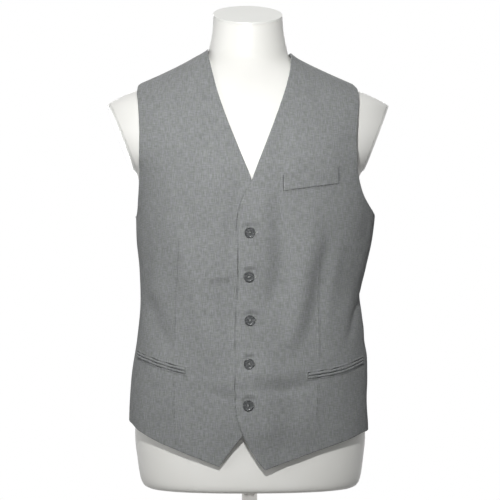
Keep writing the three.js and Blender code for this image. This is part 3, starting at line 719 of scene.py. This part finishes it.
# %% Patches that lie on a front
OVERLAP_LIMIT = -60     # the right front's own pocket lies beyond this x, where nothing is lifted
PATCH_GAP, PATCH_WALL, PATCH_INSET = 0.1, 1.2, 0.6


def front_surface(x, height):
    """A point on the finished front, with all its folds, and the plain surface's normal there."""
    angle = angle_at(x, height)
    normal = vest_normal(angle, height)
    lift = cloth_lift(angle, height) + np.where(x > OVERLAP_LIMIT, overlap_rise(x, height), 0)
    return vest_point(angle, height) + normal * lift[..., None], normal, cloth_length(angle, height)


def patch_shell(name, node, xs, heights, crown=0.0):
    """xs and heights are grids with rows that run up the patch. crown rounds its face outwards."""
    points, normal, along = front_surface(xs, heights)
    up = np.linspace(-1, 1, xs.shape[0])[:, None]
    lift = PATCH_GAP + PATCH_WALL + crown * (1 - up**2)
    points = points + normal * lift[..., None]
    piece = shell(name, points, PATCH_WALL, np.stack([along, heights], axis=-1), False)
    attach(piece, "root")
    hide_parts(node)
    return piece


def patch_grid(left, right, rows, columns=90):
    """Shares across and up a patch, and its x, which stops short of both ends for the rolled edge."""
    across, up = np.meshgrid(np.linspace(0, 1, columns), np.linspace(0, 1, rows))
    return across, up, left + PATCH_INSET + (right - left - 2 * PATCH_INSET) * across


def chest_welt():
    (low, high), depth = CHEST_WELT["foot"], CHEST_WELT["depth"]
    across, up, xs = patch_grid(*CHEST_WELT["ends"], rows=26)
    heights = low + (high - low) * across + PATCH_INSET + (depth - 2 * PATCH_INSET) * up
    return patch_shell("chest_welt_cloth", "chest_welt", xs, heights)


GAPE = dict(size=0.9, middle=0.16, reach=0.2)       # how a used pocket stands open near its inner end


def hip_jet(side, place):
    across, up, xs = patch_grid(HIP_MOUTHS[side][0][0], HIP_MOUTHS[side][-1][0], rows=9)
    inner_end = across if side == "left" else 1 - across
    gape = GAPE["size"] * np.exp(-(((inner_end - GAPE["middle"]) / GAPE["reach"]) ** 2))
    near, far = SEAM_GAP + PATCH_INSET, JET_DEPTH - PATCH_INSET + SEAM_GAP
    if place == "upper":
        away = near + (far - near) * up
    else:
        away = -(far - (far - near - gape) * up)
    heights = mouth_height(side, xs) + away
    name = f"hip_jet_{place}_{side}"
    return patch_shell(f"{name}_cloth", name, xs, heights, crown=0.5)


welt = chest_welt()
jets = [hip_jet(side, place) for side in HIP_MOUTHS for place in ("lower", "upper")]
print("welt and", len(jets), "jets made")

# %% [markdown]
# ## Buttons
# The five buttons are turned horn, sewn through four holes. A real one starts as a disc on a lathe, so
# this one is a profile turned round an axis, with the holes bored out by a boolean. The thread crosses
# between the holes, and a short wound shank under the button leaves room for the cloth.


# %% Turned shapes, tubes and the button
def turned(profile, segments=64):
    """Vertices and faces of a profile of (radius, height) turned round the upright axis."""
    vertices, rings = [], []
    for radius, height in profile:
        if rings and (radius, height) == profile[0]:
            rings.append(rings[0])
            continue
        if radius == 0:
            rings.append([len(vertices)] * segments)
            vertices.append((0, 0, height))
            continue
        rings.append(list(range(len(vertices), len(vertices) + segments)))
        for i in range(segments):
            turn = 2 * math.pi * i / segments
            vertices.append((radius * math.cos(turn), radius * math.sin(turn), height))
    faces = []
    for low, high in zip(rings[:-1], rings[1:]):
        for i in range(segments):
            j = (i + 1) % segments
            face = [low[i], low[j], high[j], high[i]]
            faces.append([v for k, v in enumerate(face) if v not in face[:k]])
    return vertices, [face for face in faces if len(face) > 2]


def tube(path, radius, sides=8):
    """Vertices and faces of a thread along a path, with closed ends."""
    path = np.asarray(path, float)
    ahead = unit(np.gradient(path, axis=0))
    side = unit(np.cross(ahead, [0.3, 0.2, 1.0]))
    over = np.cross(side, ahead)
    turns = (np.arange(sides) * 2 * math.pi / sides)[:, None]
    rings = path[:, None] + radius * (side[:, None] * np.cos(turns) + over[:, None] * np.sin(turns))
    faces = []
    for i in range(len(path) - 1):
        for k in range(sides):
            m = (k + 1) % sides
            faces.append([i * sides + k, i * sides + m, (i + 1) * sides + m, (i + 1) * sides + k])
    last = (len(path) - 1) * sides
    faces.append(list(range(sides))[::-1])
    faces.append([last + k for k in range(sides)])
    return rings.reshape(-1, 3), faces


def joined(parts):
    """Several (vertices, faces) as one."""
    vertices, faces, start = [], [], 0
    for points, polygons in parts:
        vertices.append(np.asarray(points, float))
        faces += [[v + start for v in polygon] for polygon in polygons]
        start += len(points)
    return np.concatenate(vertices), faces


BUTTON_RADIUS, BUTTON_THICKNESS, HOLE_SPACING, HOLE_RADIUS = 8.0, 3.2, 2.9, 0.9
DISH = 0.9              # how deep the button's middle lies under its rim


def button_disc():
    """Underside and edge first, then the rim, the groove inside it and the dished middle."""
    r, t = BUTTON_RADIUS, BUTTON_THICKNESS
    edge = [(0, 0), (r - 2.2, 0), (r - 1.1, 0.25), (r - 0.25, 0.9), (r, 1.6), (r - 0.1, 2.3)]
    rim = [(r - 0.45, 2.9), (r - 0.9, t), (r - 1.3, t - 0.03), (r - 1.65, t - 0.3)]
    groove = [(r - 2.0, t - 0.85), (r - 2.5, t - 1.1), (r - 3.6, t - 1.05)]
    middle = [(r - 5.2, t - 0.95), (0, t - DISH)]
    return make_object("button_blank", *turned(edge + rim + groove + middle))


def bored(blank):
    """The disc with its four thread holes cut through."""
    points, faces = turned([(0, -2), (HOLE_RADIUS, -2), (HOLE_RADIUS, 6), (0, 6)], 20)
    drills = []
    for i in range(4):
        turn = math.pi / 4 + i * math.pi / 2
        bit = np.array(points, float)
        bit[:, :2] += HOLE_SPACING / math.sqrt(2) * np.array([math.cos(turn), math.sin(turn)])
        drills.append((bit, faces))
    cutter = make_object("button_drill", *joined(drills))
    cut = blank.modifiers.new("holes", "BOOLEAN")
    cut.object, cut.operation, cut.solver = cutter, "DIFFERENCE", "EXACT"
    evaluated = blank.evaluated_get(bpy.context.evaluated_depsgraph_get())
    mesh = bpy.data.meshes.new_from_object(evaluated)
    for spare in (blank, cutter):
        bpy.data.objects.remove(spare)
    mesh.set_sharp_from_angle(angle=math.radians(40))
    return mesh


THREAD_RADIUS = 0.34


def thread_cross():
    """Two stitches, each over the middle of the button and down through a pair of holes."""
    reach, top = HOLE_SPACING / 2, BUTTON_THICKNESS - DISH
    stitches = []
    for turn, rise in ((math.pi / 4, 0.35), (3 * math.pi / 4, 0.75)):
        for shift in (-0.32, 0.32):
            steps = np.linspace(-1, 1, 15)
            out = steps * (reach + 0.1)
            height = top + rise * (1 - steps**6) - 2.2 * np.clip(np.abs(steps) - 0.88, 0, 1) * 8
            x = out * math.cos(turn) - shift * math.sin(turn)
            y = out * math.sin(turn) + shift * math.cos(turn)
            stitches.append(tube(np.stack([x, y, height], 1), THREAD_RADIUS))
    shank = turned([(0, -1.1), (1.9, -1.1), (1.55, -0.4), (1.7, 0.1), (0, 0.1)], 24)
    return joined(stitches + [shank])


def placed_on_front(points, x, height, lift, spin):
    """Turns points so that their upright axis follows the cloth's normal, and puts them on the front."""
    place, normal, _ = front_surface(np.array(float(x)), np.array(float(height)))
    axis = Vector(normal)
    turn = Vector((0, 0, 1)).rotation_difference(axis).to_matrix() @ Matrix.Rotation(spin, 3, "Z")
    moved = np.asarray(points) @ np.array(turn).T + place + normal * lift
    moved[:, 2] += FORM_BASE / MM
    return moved


BUTTON_LIFT = 0.9                           # the thread shank holds the button off the cloth
BUTTON_SPINS = (12, -25, 4, 31, -14)        # degrees: no two are sewn on alike


def sewn_buttons():
    disc = bored(button_disc())
    disc_points = np.array([v.co for v in disc.vertices]) / MM
    thread_points, thread_faces = thread_cross()
    buttons, threads = [], []
    for i, (x, height) in enumerate(BUTTON_PLACES):
        spin = math.radians(BUTTON_SPINS[i])
        mesh = disc.copy()
        points = placed_on_front(disc_points, x, height, BUTTON_LIFT, spin)
        mesh.vertices.foreach_set("co", (points * MM).ravel())
        mesh.update()
        button = bpy.data.objects.new(f"button_{i + 1}_horn", mesh)
        bpy.context.scene.collection.objects.link(button)
        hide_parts(f"button_{i + 1}")
        points = placed_on_front(thread_points, x, height, BUTTON_LIFT, spin)
        thread = make_object(f"button_{i + 1}_thread", points, thread_faces)
        for piece in (button, thread):
            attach(piece, "root")
        buttons.append(button)
        threads.append(thread)
    return buttons, threads


buttons, threads = sewn_buttons()
print(len(buttons), "buttons of", len(buttons[0].data.vertices), "vertices")

# %% [markdown]
# ## Buttonholes
# A worked buttonhole is a slit whose edges are covered by close loops of thread, with a round eye at the
# end where the button's shank sits. The loops are real tubes here, because their small bumps catch the
# light beside every button.


# %% Worked buttonholes
HOLE_START, HOLE_END = -5.5, 10.6      # from the button's centre, towards the wearer's left


def buttonhole_outline(share):
    """A long loop round the slit, with a rounder eye at its outer end."""
    half = (HOLE_END - HOLE_START) / 2
    turn = 2 * math.pi * share
    x = (HOLE_START + HOLE_END) / 2 + half * np.cos(turn)
    bulge = 0.55 + 1.0 * np.exp(-(((x - HOLE_END + 1.4) / 1.7) ** 2))
    return x, bulge * np.sin(turn)


STITCHES = 64
TWIST_RADIUS, TWIST_RISE = 0.27, 0.5


def worked_buttonhole(number, place):
    x0, height0 = place
    parts = []
    for i in range(STITCHES):
        x, away = buttonhole_outline((i + 0.5) / STITCHES)
        before = np.array(buttonhole_outline((i + 0.1) / STITCHES))
        after = np.array(buttonhole_outline((i + 0.9) / STITCHES))
        along = (after - before) / np.linalg.norm(after - before)
        outward = np.array([along[1], -along[0]])
        steps = np.linspace(0, 1, 6)
        reach = -0.25 + 1.5 * steps
        xs = x0 + x + outward[0] * reach
        heights = height0 + away + outward[1] * reach
        points, normal, _ = front_surface(xs, heights)
        arch = TWIST_RISE * np.sin(math.pi * np.clip(steps, 0.02, 0.98))
        points = points + normal * (0.15 + arch)[:, None]
        parts.append(tube(points, TWIST_RADIUS, 6))
    points, faces = joined(parts)
    points[:, 2] += FORM_BASE / MM
    piece = make_object(f"buttonhole_{number}", points, faces)
    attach(piece, "root")
    return piece


buttonholes = [worked_buttonhole(i + 1, place) for i, place in enumerate(BUTTON_PLACES)]
print(len(buttonholes), "buttonholes of", STITCHES, "stitches")

# %% [markdown]
# ## The dress form
# The form is one hard shell, turned out smooth and white, with flat ends where arms and head would be.
# Its body is lofted from the same sections as the frame, much more finely, and cut by three planes with
# booleans, just as such a form is sawn and capped.


# %% Loft the form and cut its ends
FORM_TOP = 765
ARM_CUT = dict(x=173, height=482, lean=21, toe=3)
NECK_CUT_HEIGHT, NECK_CUT_TILT = 726, 21
PLATE_GAP, PLATE_THICKNESS = 0.3, 3.0


def form_loft(name, sides=160):
    foot = [0, 0.6, 1.6, 3, 5, 8, 11, 14]
    body, shoulders = np.arange(20, 480, 9), np.arange(480, 690, 3.5)
    neck = np.arange(692, FORM_TOP + 1, 6)
    heights = np.concatenate([foot, body, shoulders, neck])
    turns = 2 * math.pi * np.arange(sides) / sides
    angles, levels = np.meshgrid(turns, heights)
    points = form_point(angles, levels).reshape(-1, 3)
    points[:, 2] += FORM_BASE / MM
    faces = []
    for ring in range(len(heights) - 1):
        low, high = ring * sides, (ring + 1) * sides
        for i in range(sides):
            j = (i + 1) % sides
            faces.append([low + i, low + j, high + j, high + i])
    top = (len(heights) - 1) * sides
    faces.append(list(range(sides))[::-1])
    faces.append([top + i for i in range(sides)])
    return make_object(name, points, faces)


def block(name, foot, outward, upward, start, end, tall=220.0, wide=400.0):
    """A cutting block that starts at a plane through foot and reaches outwards."""
    sideways = upward.cross(outward).normalized()
    corners = []
    for out in (start, end):
        for up in (0, tall):
            for along in (-wide / 2, wide / 2):
                corners.append(foot + outward * out + upward * up + sideways * along)
    faces = [[0, 2, 3, 1], [4, 5, 7, 6], [0, 1, 5, 4], [2, 6, 7, 3], [0, 4, 6, 2], [1, 3, 7, 5]]
    return make_object(name, [list(corner) for corner in corners], faces)


def arm_plane(side):
    lean, toe = math.radians(ARM_CUT["lean"]), math.radians(ARM_CUT["toe"])
    sideways = side * math.cos(lean) * math.cos(toe)
    outward = Vector((sideways, -math.sin(toe), -math.sin(lean))).normalized()
    upward = Vector((side * math.sin(lean), 0, math.cos(lean)))
    upward = (upward - outward * upward.dot(outward)).normalized()
    foot_x = lean_at(ARM_CUT["height"]) + side * ARM_CUT["x"]
    return Vector((foot_x, 0, ARM_CUT["height"] + FORM_BASE / MM)), outward, upward


def neck_plane():
    tilt = math.radians(NECK_CUT_TILT)
    outward = Vector((0, -math.sin(tilt), math.cos(tilt)))
    upward = Vector((0, math.cos(tilt), math.sin(tilt)))
    middle = float(FORM["middle"](NECK_CUT_HEIGHT))
    foot = Vector((lean_at(NECK_CUT_HEIGHT), middle, NECK_CUT_HEIGHT + FORM_BASE / MM)) - upward * 150
    return foot, outward, upward


def with_boolean(target, cutters, operation):
    for cutter in cutters:
        step = target.modifiers.new("cut", "BOOLEAN")
        step.object, step.operation, step.solver = cutter, operation, "EXACT"
    evaluated = target.evaluated_get(bpy.context.evaluated_depsgraph_get())
    mesh = bpy.data.meshes.new_from_object(evaluated)
    target.modifiers.clear()
    target.data = mesh
    for cutter in cutters:
        bpy.data.objects.remove(cutter)
    mesh.polygons.foreach_set("use_smooth", [True] * len(mesh.polygons))
    mesh.set_sharp_from_angle(angle=math.radians(28))
    return target


def form_piece(name, node, cutters, operation):
    piece = with_boolean(form_loft(name), cutters, operation)
    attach(piece, "root")
    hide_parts(node)
    return piece


FAR, NECK_BLOCK = 200, (300, 300)
cuts = [block("saw", *arm_plane(1), 0, FAR), block("saw", *arm_plane(-1), 0, FAR)]
cuts.append(block("saw", *neck_plane(), 0, FAR, *NECK_BLOCK))
torso = form_piece("form_torso_shell", "form_torso", cuts, "DIFFERENCE")
plate_reach = (PLATE_GAP, PLATE_GAP + PLATE_THICKNESS)
caps = []
for name, node, plane, size in (
    ("neck_cap_plate", "neck_cap", neck_plane(), NECK_BLOCK),
    ("arm_plate_left_disc", "arm_plate_left", arm_plane(1), ()),
    ("arm_plate_right_disc", "arm_plate_right", arm_plane(-1), ()),
):
    slab = block("slab", *plane, *plate_reach, *size)
    caps.append(form_piece(name, node, [slab], "INTERSECT"))
print("form of", len(torso.data.vertices), "vertices with", len(caps), "end plates")

# %% [markdown]
# ## The stand
# Base, collar, pole and flange are turned and plated steel. The frame holds them as faceted solids, and
# here each is turned again with many more sides and with softened edges.

# %% Turn the stand
POLE_RADIUS, BASE_RADIUS, BASE_THICKNESS = 12.0, 145.0, 9.0
SOCKET_RADIUS, SOCKET_THICKNESS, SOCKET_ROOF = 40.0, 8.0, 3.0
BOSS_RADIUS, BOSS_HEIGHT = 24.0, 22.0
CLEARANCE = 0.3


def eased(profile, reach=0.8):
    """Each corner of a turned profile becomes three points, so that it catches a thin line of light."""
    points = [np.array(p, float) for p in profile]
    soft = [profile[0]]
    for before, here, after in zip(points[:-2], points[1:-1], points[2:]):
        back, ahead = before - here, after - here
        first = here + back * min(0.5, reach / max(np.linalg.norm(back), 1e-6))
        last = here + ahead * min(0.5, reach / max(np.linalg.norm(ahead), 1e-6))
        middle = (first + 2 * here + last) / 4
        soft += [tuple(first), tuple(middle), tuple(last)]
    return soft + [profile[-1]]


def stand_piece(name, node, profile, segments):
    piece = make_object(name, *turned(profile, segments))
    piece.data.set_sharp_from_angle(angle=math.radians(20))
    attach(piece, "root")
    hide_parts(node)
    return piece


def stand_pieces():
    form_base = FORM_BASE / MM
    foot = BASE_THICKNESS + CLEARANCE
    bore, boss_top = POLE_RADIUS + CLEARANCE, foot + BOSS_HEIGHT
    base = [(0, 0), (BASE_RADIUS - 1, 0), (BASE_RADIUS, 1), (BASE_RADIUS, BASE_THICKNESS - 3),
            (BASE_RADIUS - 4, BASE_THICKNESS), (0, BASE_THICKNESS)]
    boss = [(bore, boss_top), (bore, foot), (BOSS_RADIUS, foot), (BOSS_RADIUS, foot + 3),
            (BOSS_RADIUS - 4, foot + 7), (BOSS_RADIUS - 5, boss_top - 1),
            (BOSS_RADIUS - 6, boss_top), (bore, boss_top)]
    top = form_base - SOCKET_ROOF - CLEARANCE
    pole = [(0, foot), (POLE_RADIUS, foot), (POLE_RADIUS, top), (0, top)]
    under = form_base - SOCKET_THICKNESS
    roof = form_base - SOCKET_ROOF
    socket = [(0, roof), (bore, roof), (bore, under), (SOCKET_RADIUS - 2, under), (SOCKET_RADIUS, under + 2),
              (SOCKET_RADIUS, form_base - CLEARANCE), (0, form_base - CLEARANCE)]
    return [
        stand_piece("base_plate_turned", "base_plate", eased(base, 1.2), 160),
        stand_piece("pole_boss_turned", "pole_boss", boss, 96),
        stand_piece("pole_tube", "pole", eased(pole, 0.6), 64),
        stand_piece("form_socket_turned", "form_socket", socket, 96),
    ]


stand = stand_pieces()
print(len(stand), "turned pieces of the stand")

# %% [markdown]
# ## Suiting
# This is a plain worsted: yarns spun from light and dark wool, so every thread changes tone along its
# length. Two stretched noises give those streaks, one along the warp and one along the weft. They sit on
# the cloth's own coordinates in metres, so the grain follows the cut of each panel. The dark lines are
# drawn here from the stored distances: seams with the painted shade of their grooves and gaps, and the
# painted shadow under the left front's edge.


# %% Small helpers for materials
def add(tree, kind, **settings):
    """A node of that kind. Settings named in_0, in_1 and so on are inputs, as values or as sockets."""
    made = tree.nodes.new(kind)
    for key, value in settings.items():
        if key.startswith("in_"):
            socket = made.inputs[int(key[3:])]
            if isinstance(value, bpy.types.NodeSocket):
                tree.links.new(value, socket)
            else:
                socket.default_value = value
        else:
            setattr(made, key, value)
    return made


def maths(tree, operation, a, b=0.0, clamp=False):
    return add(tree, "ShaderNodeMath", operation=operation, in_0=a, in_1=b, use_clamp=clamp).outputs[0]


def between(tree, value, low, high, out_low=0.0, out_high=1.0):
    """A smooth step from one value to another."""
    made = add(tree, "ShaderNodeMapRange", interpolation_type="SMOOTHSTEP")
    tree.links.new(value, made.inputs[0])
    for index, number in zip((1, 2, 3, 4), (low, high, out_low, out_high)):
        made.inputs[index].default_value = number
    return made.outputs[0]


def stretched_noise(tree, vector, size, detail=2.0):
    """Noise whose spots have that size, in metres, along each of the cloth's two directions."""
    mapping = add(tree, "ShaderNodeMapping", vector_type="POINT", in_0=vector)
    mapping.inputs["Scale"].default_value = (1 / size[0], 1 / size[1], 1)
    noise = add(tree, "ShaderNodeTexNoise", noise_dimensions="2D", in_0=mapping.outputs[0])
    noise.inputs["Scale"].default_value = 1.0
    noise.inputs["Detail"].default_value = detail
    noise.inputs["Roughness"].default_value = 0.55
    return noise.outputs["Fac"]


def new_material(name):
    material = bpy.data.materials.new(name)
    material.use_nodes = True
    tree = material.node_tree
    shader = tree.nodes["Principled BSDF"]
    return material, tree, shader


# %% The suiting material
def about_one(tree, value, amount):
    """1 plus that amount of a value."""
    made = maths(tree, "MULTIPLY_ADD", value, amount)
    made.node.inputs[2].default_value = 1.0
    return made


THREADS_PER_METRE = 700.0


def suiting(name, tone, with_seam_and_shadow_lines=True):
    material, tree, shader = new_material(name)
    cloth = add(tree, "ShaderNodeUVMap", uv_map="cloth").outputs[0]
    warp = stretched_noise(tree, cloth, (0.0010, 0.012), 3.0)
    weft = stretched_noise(tree, cloth, (0.0095, 0.0010), 3.0)
    mottle = stretched_noise(tree, cloth, (0.006, 0.009), 2.0)
    drift = stretched_noise(tree, cloth, (0.05, 0.07), 1.0)
    streaks = maths(tree, "ADD", maths(tree, "MULTIPLY", warp, 0.55), maths(tree, "MULTIPLY", weft, 0.45))
    tint = about_one(tree, between(tree, streaks, 0.38, 0.62, -1, 1), 0.18)
    soft = about_one(tree, between(tree, mottle, 0.35, 0.65, -1, 1), 0.025)
    slow = about_one(tree, between(tree, drift, 0.3, 0.7, -1, 1), 0.02)
    shade = maths(tree, "MULTIPLY", maths(tree, "MULTIPLY", tint, soft), slow)
    threads_up = add(tree, "ShaderNodeTexWave", wave_type="BANDS", bands_direction="X", in_0=cloth)
    threads_over = add(tree, "ShaderNodeTexWave", wave_type="BANDS", bands_direction="Y", in_0=cloth)
    for wave in (threads_up, threads_over):
        wave.inputs["Scale"].default_value = THREADS_PER_METRE
        wave.inputs["Distortion"].default_value = 0.6
        wave.inputs["Detail"].default_value = 1.0
        wave.inputs["Detail Scale"].default_value = 0.4
    weave = maths(tree, "MULTIPLY", threads_up.outputs["Fac"], threads_over.outputs["Fac"])
    fine = maths(tree, "MULTIPLY", weave, 0.00010)
    height = maths(tree, "ADD", fine, maths(tree, "MULTIPLY", streaks, 0.00022))
    if with_seam_and_shadow_lines:
        distance = add(tree, "ShaderNodeAttribute", attribute_name="seam_and_shadow_distance").outputs["Fac"]
        strength = add(tree, "ShaderNodeAttribute", attribute_name="seam_and_shadow_strength").outputs["Fac"]
        # the lines darken the cloth's colour as painted shade: the shade in the seams' grooves, in the
        # pocket mouths and under the left front's overlapping edge; the groove and the roll below are bumps
        line = maths(tree, "MULTIPLY", between(tree, distance, 0.25, 1.05, 1, 0), strength)
        roll = maths(tree, "MULTIPLY", between(tree, distance, 1.0, 3.6, 1, 0), strength)
        shade = maths(tree, "MULTIPLY", shade, about_one(tree, line, -0.42))
        groove = maths(tree, "MULTIPLY", line, -0.0007)
        swell = maths(tree, "MULTIPLY", roll, 0.0006)
        height = maths(tree, "ADD", height, maths(tree, "ADD", groove, swell))
    mix = add(tree, "ShaderNodeMix", data_type="RGBA", blend_type="MULTIPLY")
    mix.inputs[0].default_value = 1.0
    colour = add(tree, "ShaderNodeMix", data_type="RGBA")
    tree.links.new(between(tree, mottle, 0.4, 0.6), colour.inputs[0])
    colour.inputs[6].default_value = (tone * 0.965, tone * 1.005, tone * 0.985, 1)
    colour.inputs[7].default_value = (tone * 0.97, tone * 0.998, tone * 1.02, 1)
    tree.links.new(colour.outputs[2], mix.inputs[6])
    tree.links.new(shade, mix.inputs[7])
    tree.links.new(mix.outputs[2], shader.inputs["Base Color"])
    bump = add(tree, "ShaderNodeBump")
    bump.inputs["Strength"].default_value = 1.0
    bump.inputs["Distance"].default_value = 1.0
    tree.links.new(height, bump.inputs["Height"])
    tree.links.new(bump.outputs[0], shader.inputs["Normal"])
    shader.inputs["Roughness"].default_value = 0.92
    shader.inputs["Specular IOR Level"].default_value = 0.25
    shader.inputs["Sheen Weight"].default_value = 0.12
    shader.inputs["Sheen Roughness"].default_value = 0.5
    return material


def dress(pieces, material):
    for piece in pieces:
        piece.data.materials.clear()
        piece.data.materials.append(material)


CLOTH_TONE = 0.26
dress(panels.values(), suiting("grey_suiting", CLOTH_TONE))
dress([welt] + jets, suiting("pocket_suiting", CLOTH_TONE, with_seam_and_shadow_lines=False))
print("suiting on", len(panels) + 1 + len(jets), "pieces")


# %% [markdown]
# ## Thread, horn, shell and chrome
# The buttonhole twist and the button thread are a shade off the cloth. Horn is dark grey with soft
# cloudy streaks and a dull polish. The form's shell is sprayed white and barely uneven, and the stand
# is chrome.


# %% The other materials
def object_noise(tree, size, detail=2.0, stretch=(1, 1, 1)):
    place = add(tree, "ShaderNodeTexCoord").outputs["Object"]
    mapping = add(tree, "ShaderNodeMapping", in_0=place)
    mapping.inputs["Scale"].default_value = stretch
    noise = add(tree, "ShaderNodeTexNoise", in_0=mapping.outputs[0])
    noise.inputs["Scale"].default_value = 1 / size
    noise.inputs["Detail"].default_value = detail
    return noise.outputs["Fac"]


def two_tone(name, dark, light, size, roughness, bump_depth, detail=2.0, stretch=(1, 1, 1), metallic=0.0):
    """A material that wanders between two close tones, with a matching slight unevenness."""
    material, tree, shader = new_material(name)
    noise = object_noise(tree, size, detail, stretch)
    mix = add(tree, "ShaderNodeMix", data_type="RGBA")
    mix.inputs[6].default_value = (*dark, 1)
    mix.inputs[7].default_value = (*light, 1)
    tree.links.new(between(tree, noise, 0.35, 0.65), mix.inputs[0])
    tree.links.new(mix.outputs[2], shader.inputs["Base Color"])
    rough = between(tree, noise, 0.3, 0.7, roughness[0], roughness[1])
    tree.links.new(rough, shader.inputs["Roughness"])
    bump = add(tree, "ShaderNodeBump")
    bump.inputs["Distance"].default_value = bump_depth
    bump.inputs["Strength"].default_value = 1.0
    tree.links.new(noise, bump.inputs["Height"])
    tree.links.new(bump.outputs[0], shader.inputs["Normal"])
    shader.inputs["Metallic"].default_value = metallic
    return material


horn = two_tone(
    "grey_horn", (0.040, 0.044, 0.045), (0.095, 0.10, 0.103),
    size=0.004, roughness=(0.2, 0.32), bump_depth=0.00003, detail=3, stretch=(1, 1, 2.5))
twist = two_tone(
    "buttonhole_twist", (0.3, 0.31, 0.31), (0.42, 0.425, 0.42),
    size=0.0008, roughness=(0.4, 0.5), bump_depth=0.00005)
shell_white = two_tone(
    "white_shell", (0.865, 0.86, 0.82), (0.89, 0.885, 0.85),
    size=0.11, roughness=(0.38, 0.46), bump_depth=0.0002)
cap_white = two_tone(
    "white_end_plate", (0.85, 0.852, 0.815), (0.87, 0.872, 0.835),
    size=0.09, roughness=(0.3, 0.38), bump_depth=0.0001)
chrome = two_tone(
    "chrome", (0.42, 0.41, 0.39), (0.48, 0.47, 0.45),
    size=0.05, roughness=(0.08, 0.14), bump_depth=0.00001, metallic=1.0)
dress(buttons, horn)
dress(buttonholes + threads, twist)
dress([torso], shell_white)
dress(caps, cap_white)
dress(stand, chrome)
print("horn, twist, shell, end plates and chrome done")

# %% [markdown]
# ## What each panel was cut from
# Every panel lay flat on the cutting table once; the box and the area that it was cut from are not stated
# here.


# %% [markdown]
# ## Light, floor and camera
# One small key light stands a metre in front, above the chest, so that the light falls off towards the
# hem and the folds show. A larger, weaker fill comes from the wearer's right, and a lamp overhead lights
# the neck cap and the shoulders. A dim world softens the shadows, and a wide lamp behind keeps the back
# readable without touching the front. The floor near the stand is a plain one, so it takes a shadow.
# It sends less light back up than its colour would, which keeps the underside of the hem dark. Further
# away it turns to pure white for the camera and for mirrors, as a studio sweep does.


# %% Light
def seen_directly(tree):
    """1 for what the camera sees directly, in a mirror or through glass, and 0 for light on surfaces."""
    path = add(tree, "ShaderNodeLightPath").outputs
    seen = maths(tree, "ADD", path["Is Camera Ray"], path["Is Glossy Ray"])
    return maths(tree, "ADD", seen, path["Is Transmission Ray"], clamp=True)


def studio_world(horizon, zenith):
    """A world that lights dimly from all round and more from above, and shows as plain white."""
    world = bpy.data.worlds.new("studio")
    bpy.context.scene.world = world
    world.use_nodes = True
    tree = world.node_tree
    background = tree.nodes["Background"]
    direction = add(tree, "ShaderNodeTexCoord").outputs["Generated"]
    upward = add(tree, "ShaderNodeSeparateXYZ", in_0=direction).outputs["Z"]
    fill = between(tree, upward, 0, 1, horizon, zenith)
    rest = maths(tree, "SUBTRACT", 1.0, fill)
    strength = maths(tree, "MULTIPLY_ADD", seen_directly(tree), rest)
    tree.links.new(fill, strength.node.inputs[2])
    background.inputs["Color"].default_value = (1, 1, 1, 1)
    tree.links.new(strength, background.inputs["Strength"])


def studio_lamp(name, azimuth, distance, height, size, watts, aim=0.55):
    """A round lamp aimed at the chest. Azimuth 0 is straight in front, positive to the wearer's left."""
    turn = math.radians(azimuth)
    lamp = bpy.data.lights.new(name, "AREA")
    lamp.shape, lamp.size, lamp.energy = "DISK", size, watts
    light = bpy.data.objects.new(name, lamp)
    bpy.context.scene.collection.objects.link(light)
    light.location = (distance * math.sin(turn), -distance * math.cos(turn), height)
    light.rotation_euler = (Vector((0, 0, aim)) - light.location).to_track_quat("-Z", "Y").to_euler()


studio_world(horizon=0.11, zenith=0.28)
studio_lamp("key", azimuth=-6, distance=1.0, height=0.88, size=0.09, watts=8.0)
studio_lamp("fill", azimuth=-60, distance=1.6, height=0.75, size=0.7, watts=4.2)
studio_lamp("top", azimuth=180, distance=0.3, height=1.85, size=0.4, watts=3.4)
studio_lamp("back", azimuth=180, distance=2.2, height=0.8, size=1.4, watts=30)


# %% Floor
def floor_material():
    material, tree, shader = new_material("studio_floor")
    bounced = add(tree, "ShaderNodeLightPath").outputs["Is Diffuse Ray"]
    pale = maths(tree, "MULTIPLY_ADD", bounced, -0.5)
    pale.node.inputs[2].default_value = 0.8
    tree.links.new(pale, shader.inputs["Base Color"])
    shader.inputs["Roughness"].default_value = 0.8
    place = add(tree, "ShaderNodeTexCoord").outputs["Object"]
    length = add(tree, "ShaderNodeVectorMath", operation="LENGTH", in_0=place).outputs["Value"]
    far = between(tree, length, 0.5, 0.9)
    seen = seen_directly(tree)
    glow = add(tree, "ShaderNodeEmission", in_0=(1, 1, 1, 1), in_1=1.0)
    blend = add(tree, "ShaderNodeMixShader", in_0=maths(tree, "MULTIPLY", far, seen))
    tree.links.new(shader.outputs[0], blend.inputs[1])
    tree.links.new(glow.outputs[0], blend.inputs[2])
    tree.links.new(blend.outputs[0], tree.nodes["Material Output"].inputs["Surface"])
    return material


def studio_floor(size=8000.0):
    corners = [(-size, -size, 0), (size, -size, 0), (size, size, 0), (-size, size, 0)]
    floor = make_object("studio_floor", corners, [[0, 1, 2, 3]])
    dress([floor], floor_material())


studio_floor()


# %% Camera
def studio_camera(azimuth=2.5, distance=3.1, height=0.505, sideways=0.0008, lens=144):
    """A long lens, level with the chest, a little to the wearer's right of straight ahead."""
    turn = math.radians(azimuth)
    data = bpy.data.cameras.new("camera")
    data.lens, data.sensor_width = lens, 36
    camera = bpy.data.objects.new("camera", data)
    bpy.context.scene.collection.objects.link(camera)
    ahead = Vector((math.sin(turn), math.cos(turn), 0))
    right = Vector((math.cos(turn), -math.sin(turn), 0))
    camera.location = Vector((0, 0, height)) - ahead * distance + right * sideways
    camera.rotation_euler = ahead.to_track_quat("-Z", "Y").to_euler()
    bpy.context.scene.camera = camera


studio_camera()
bpy.context.scene.view_settings.view_transform = "Standard"
print("camera and light set")
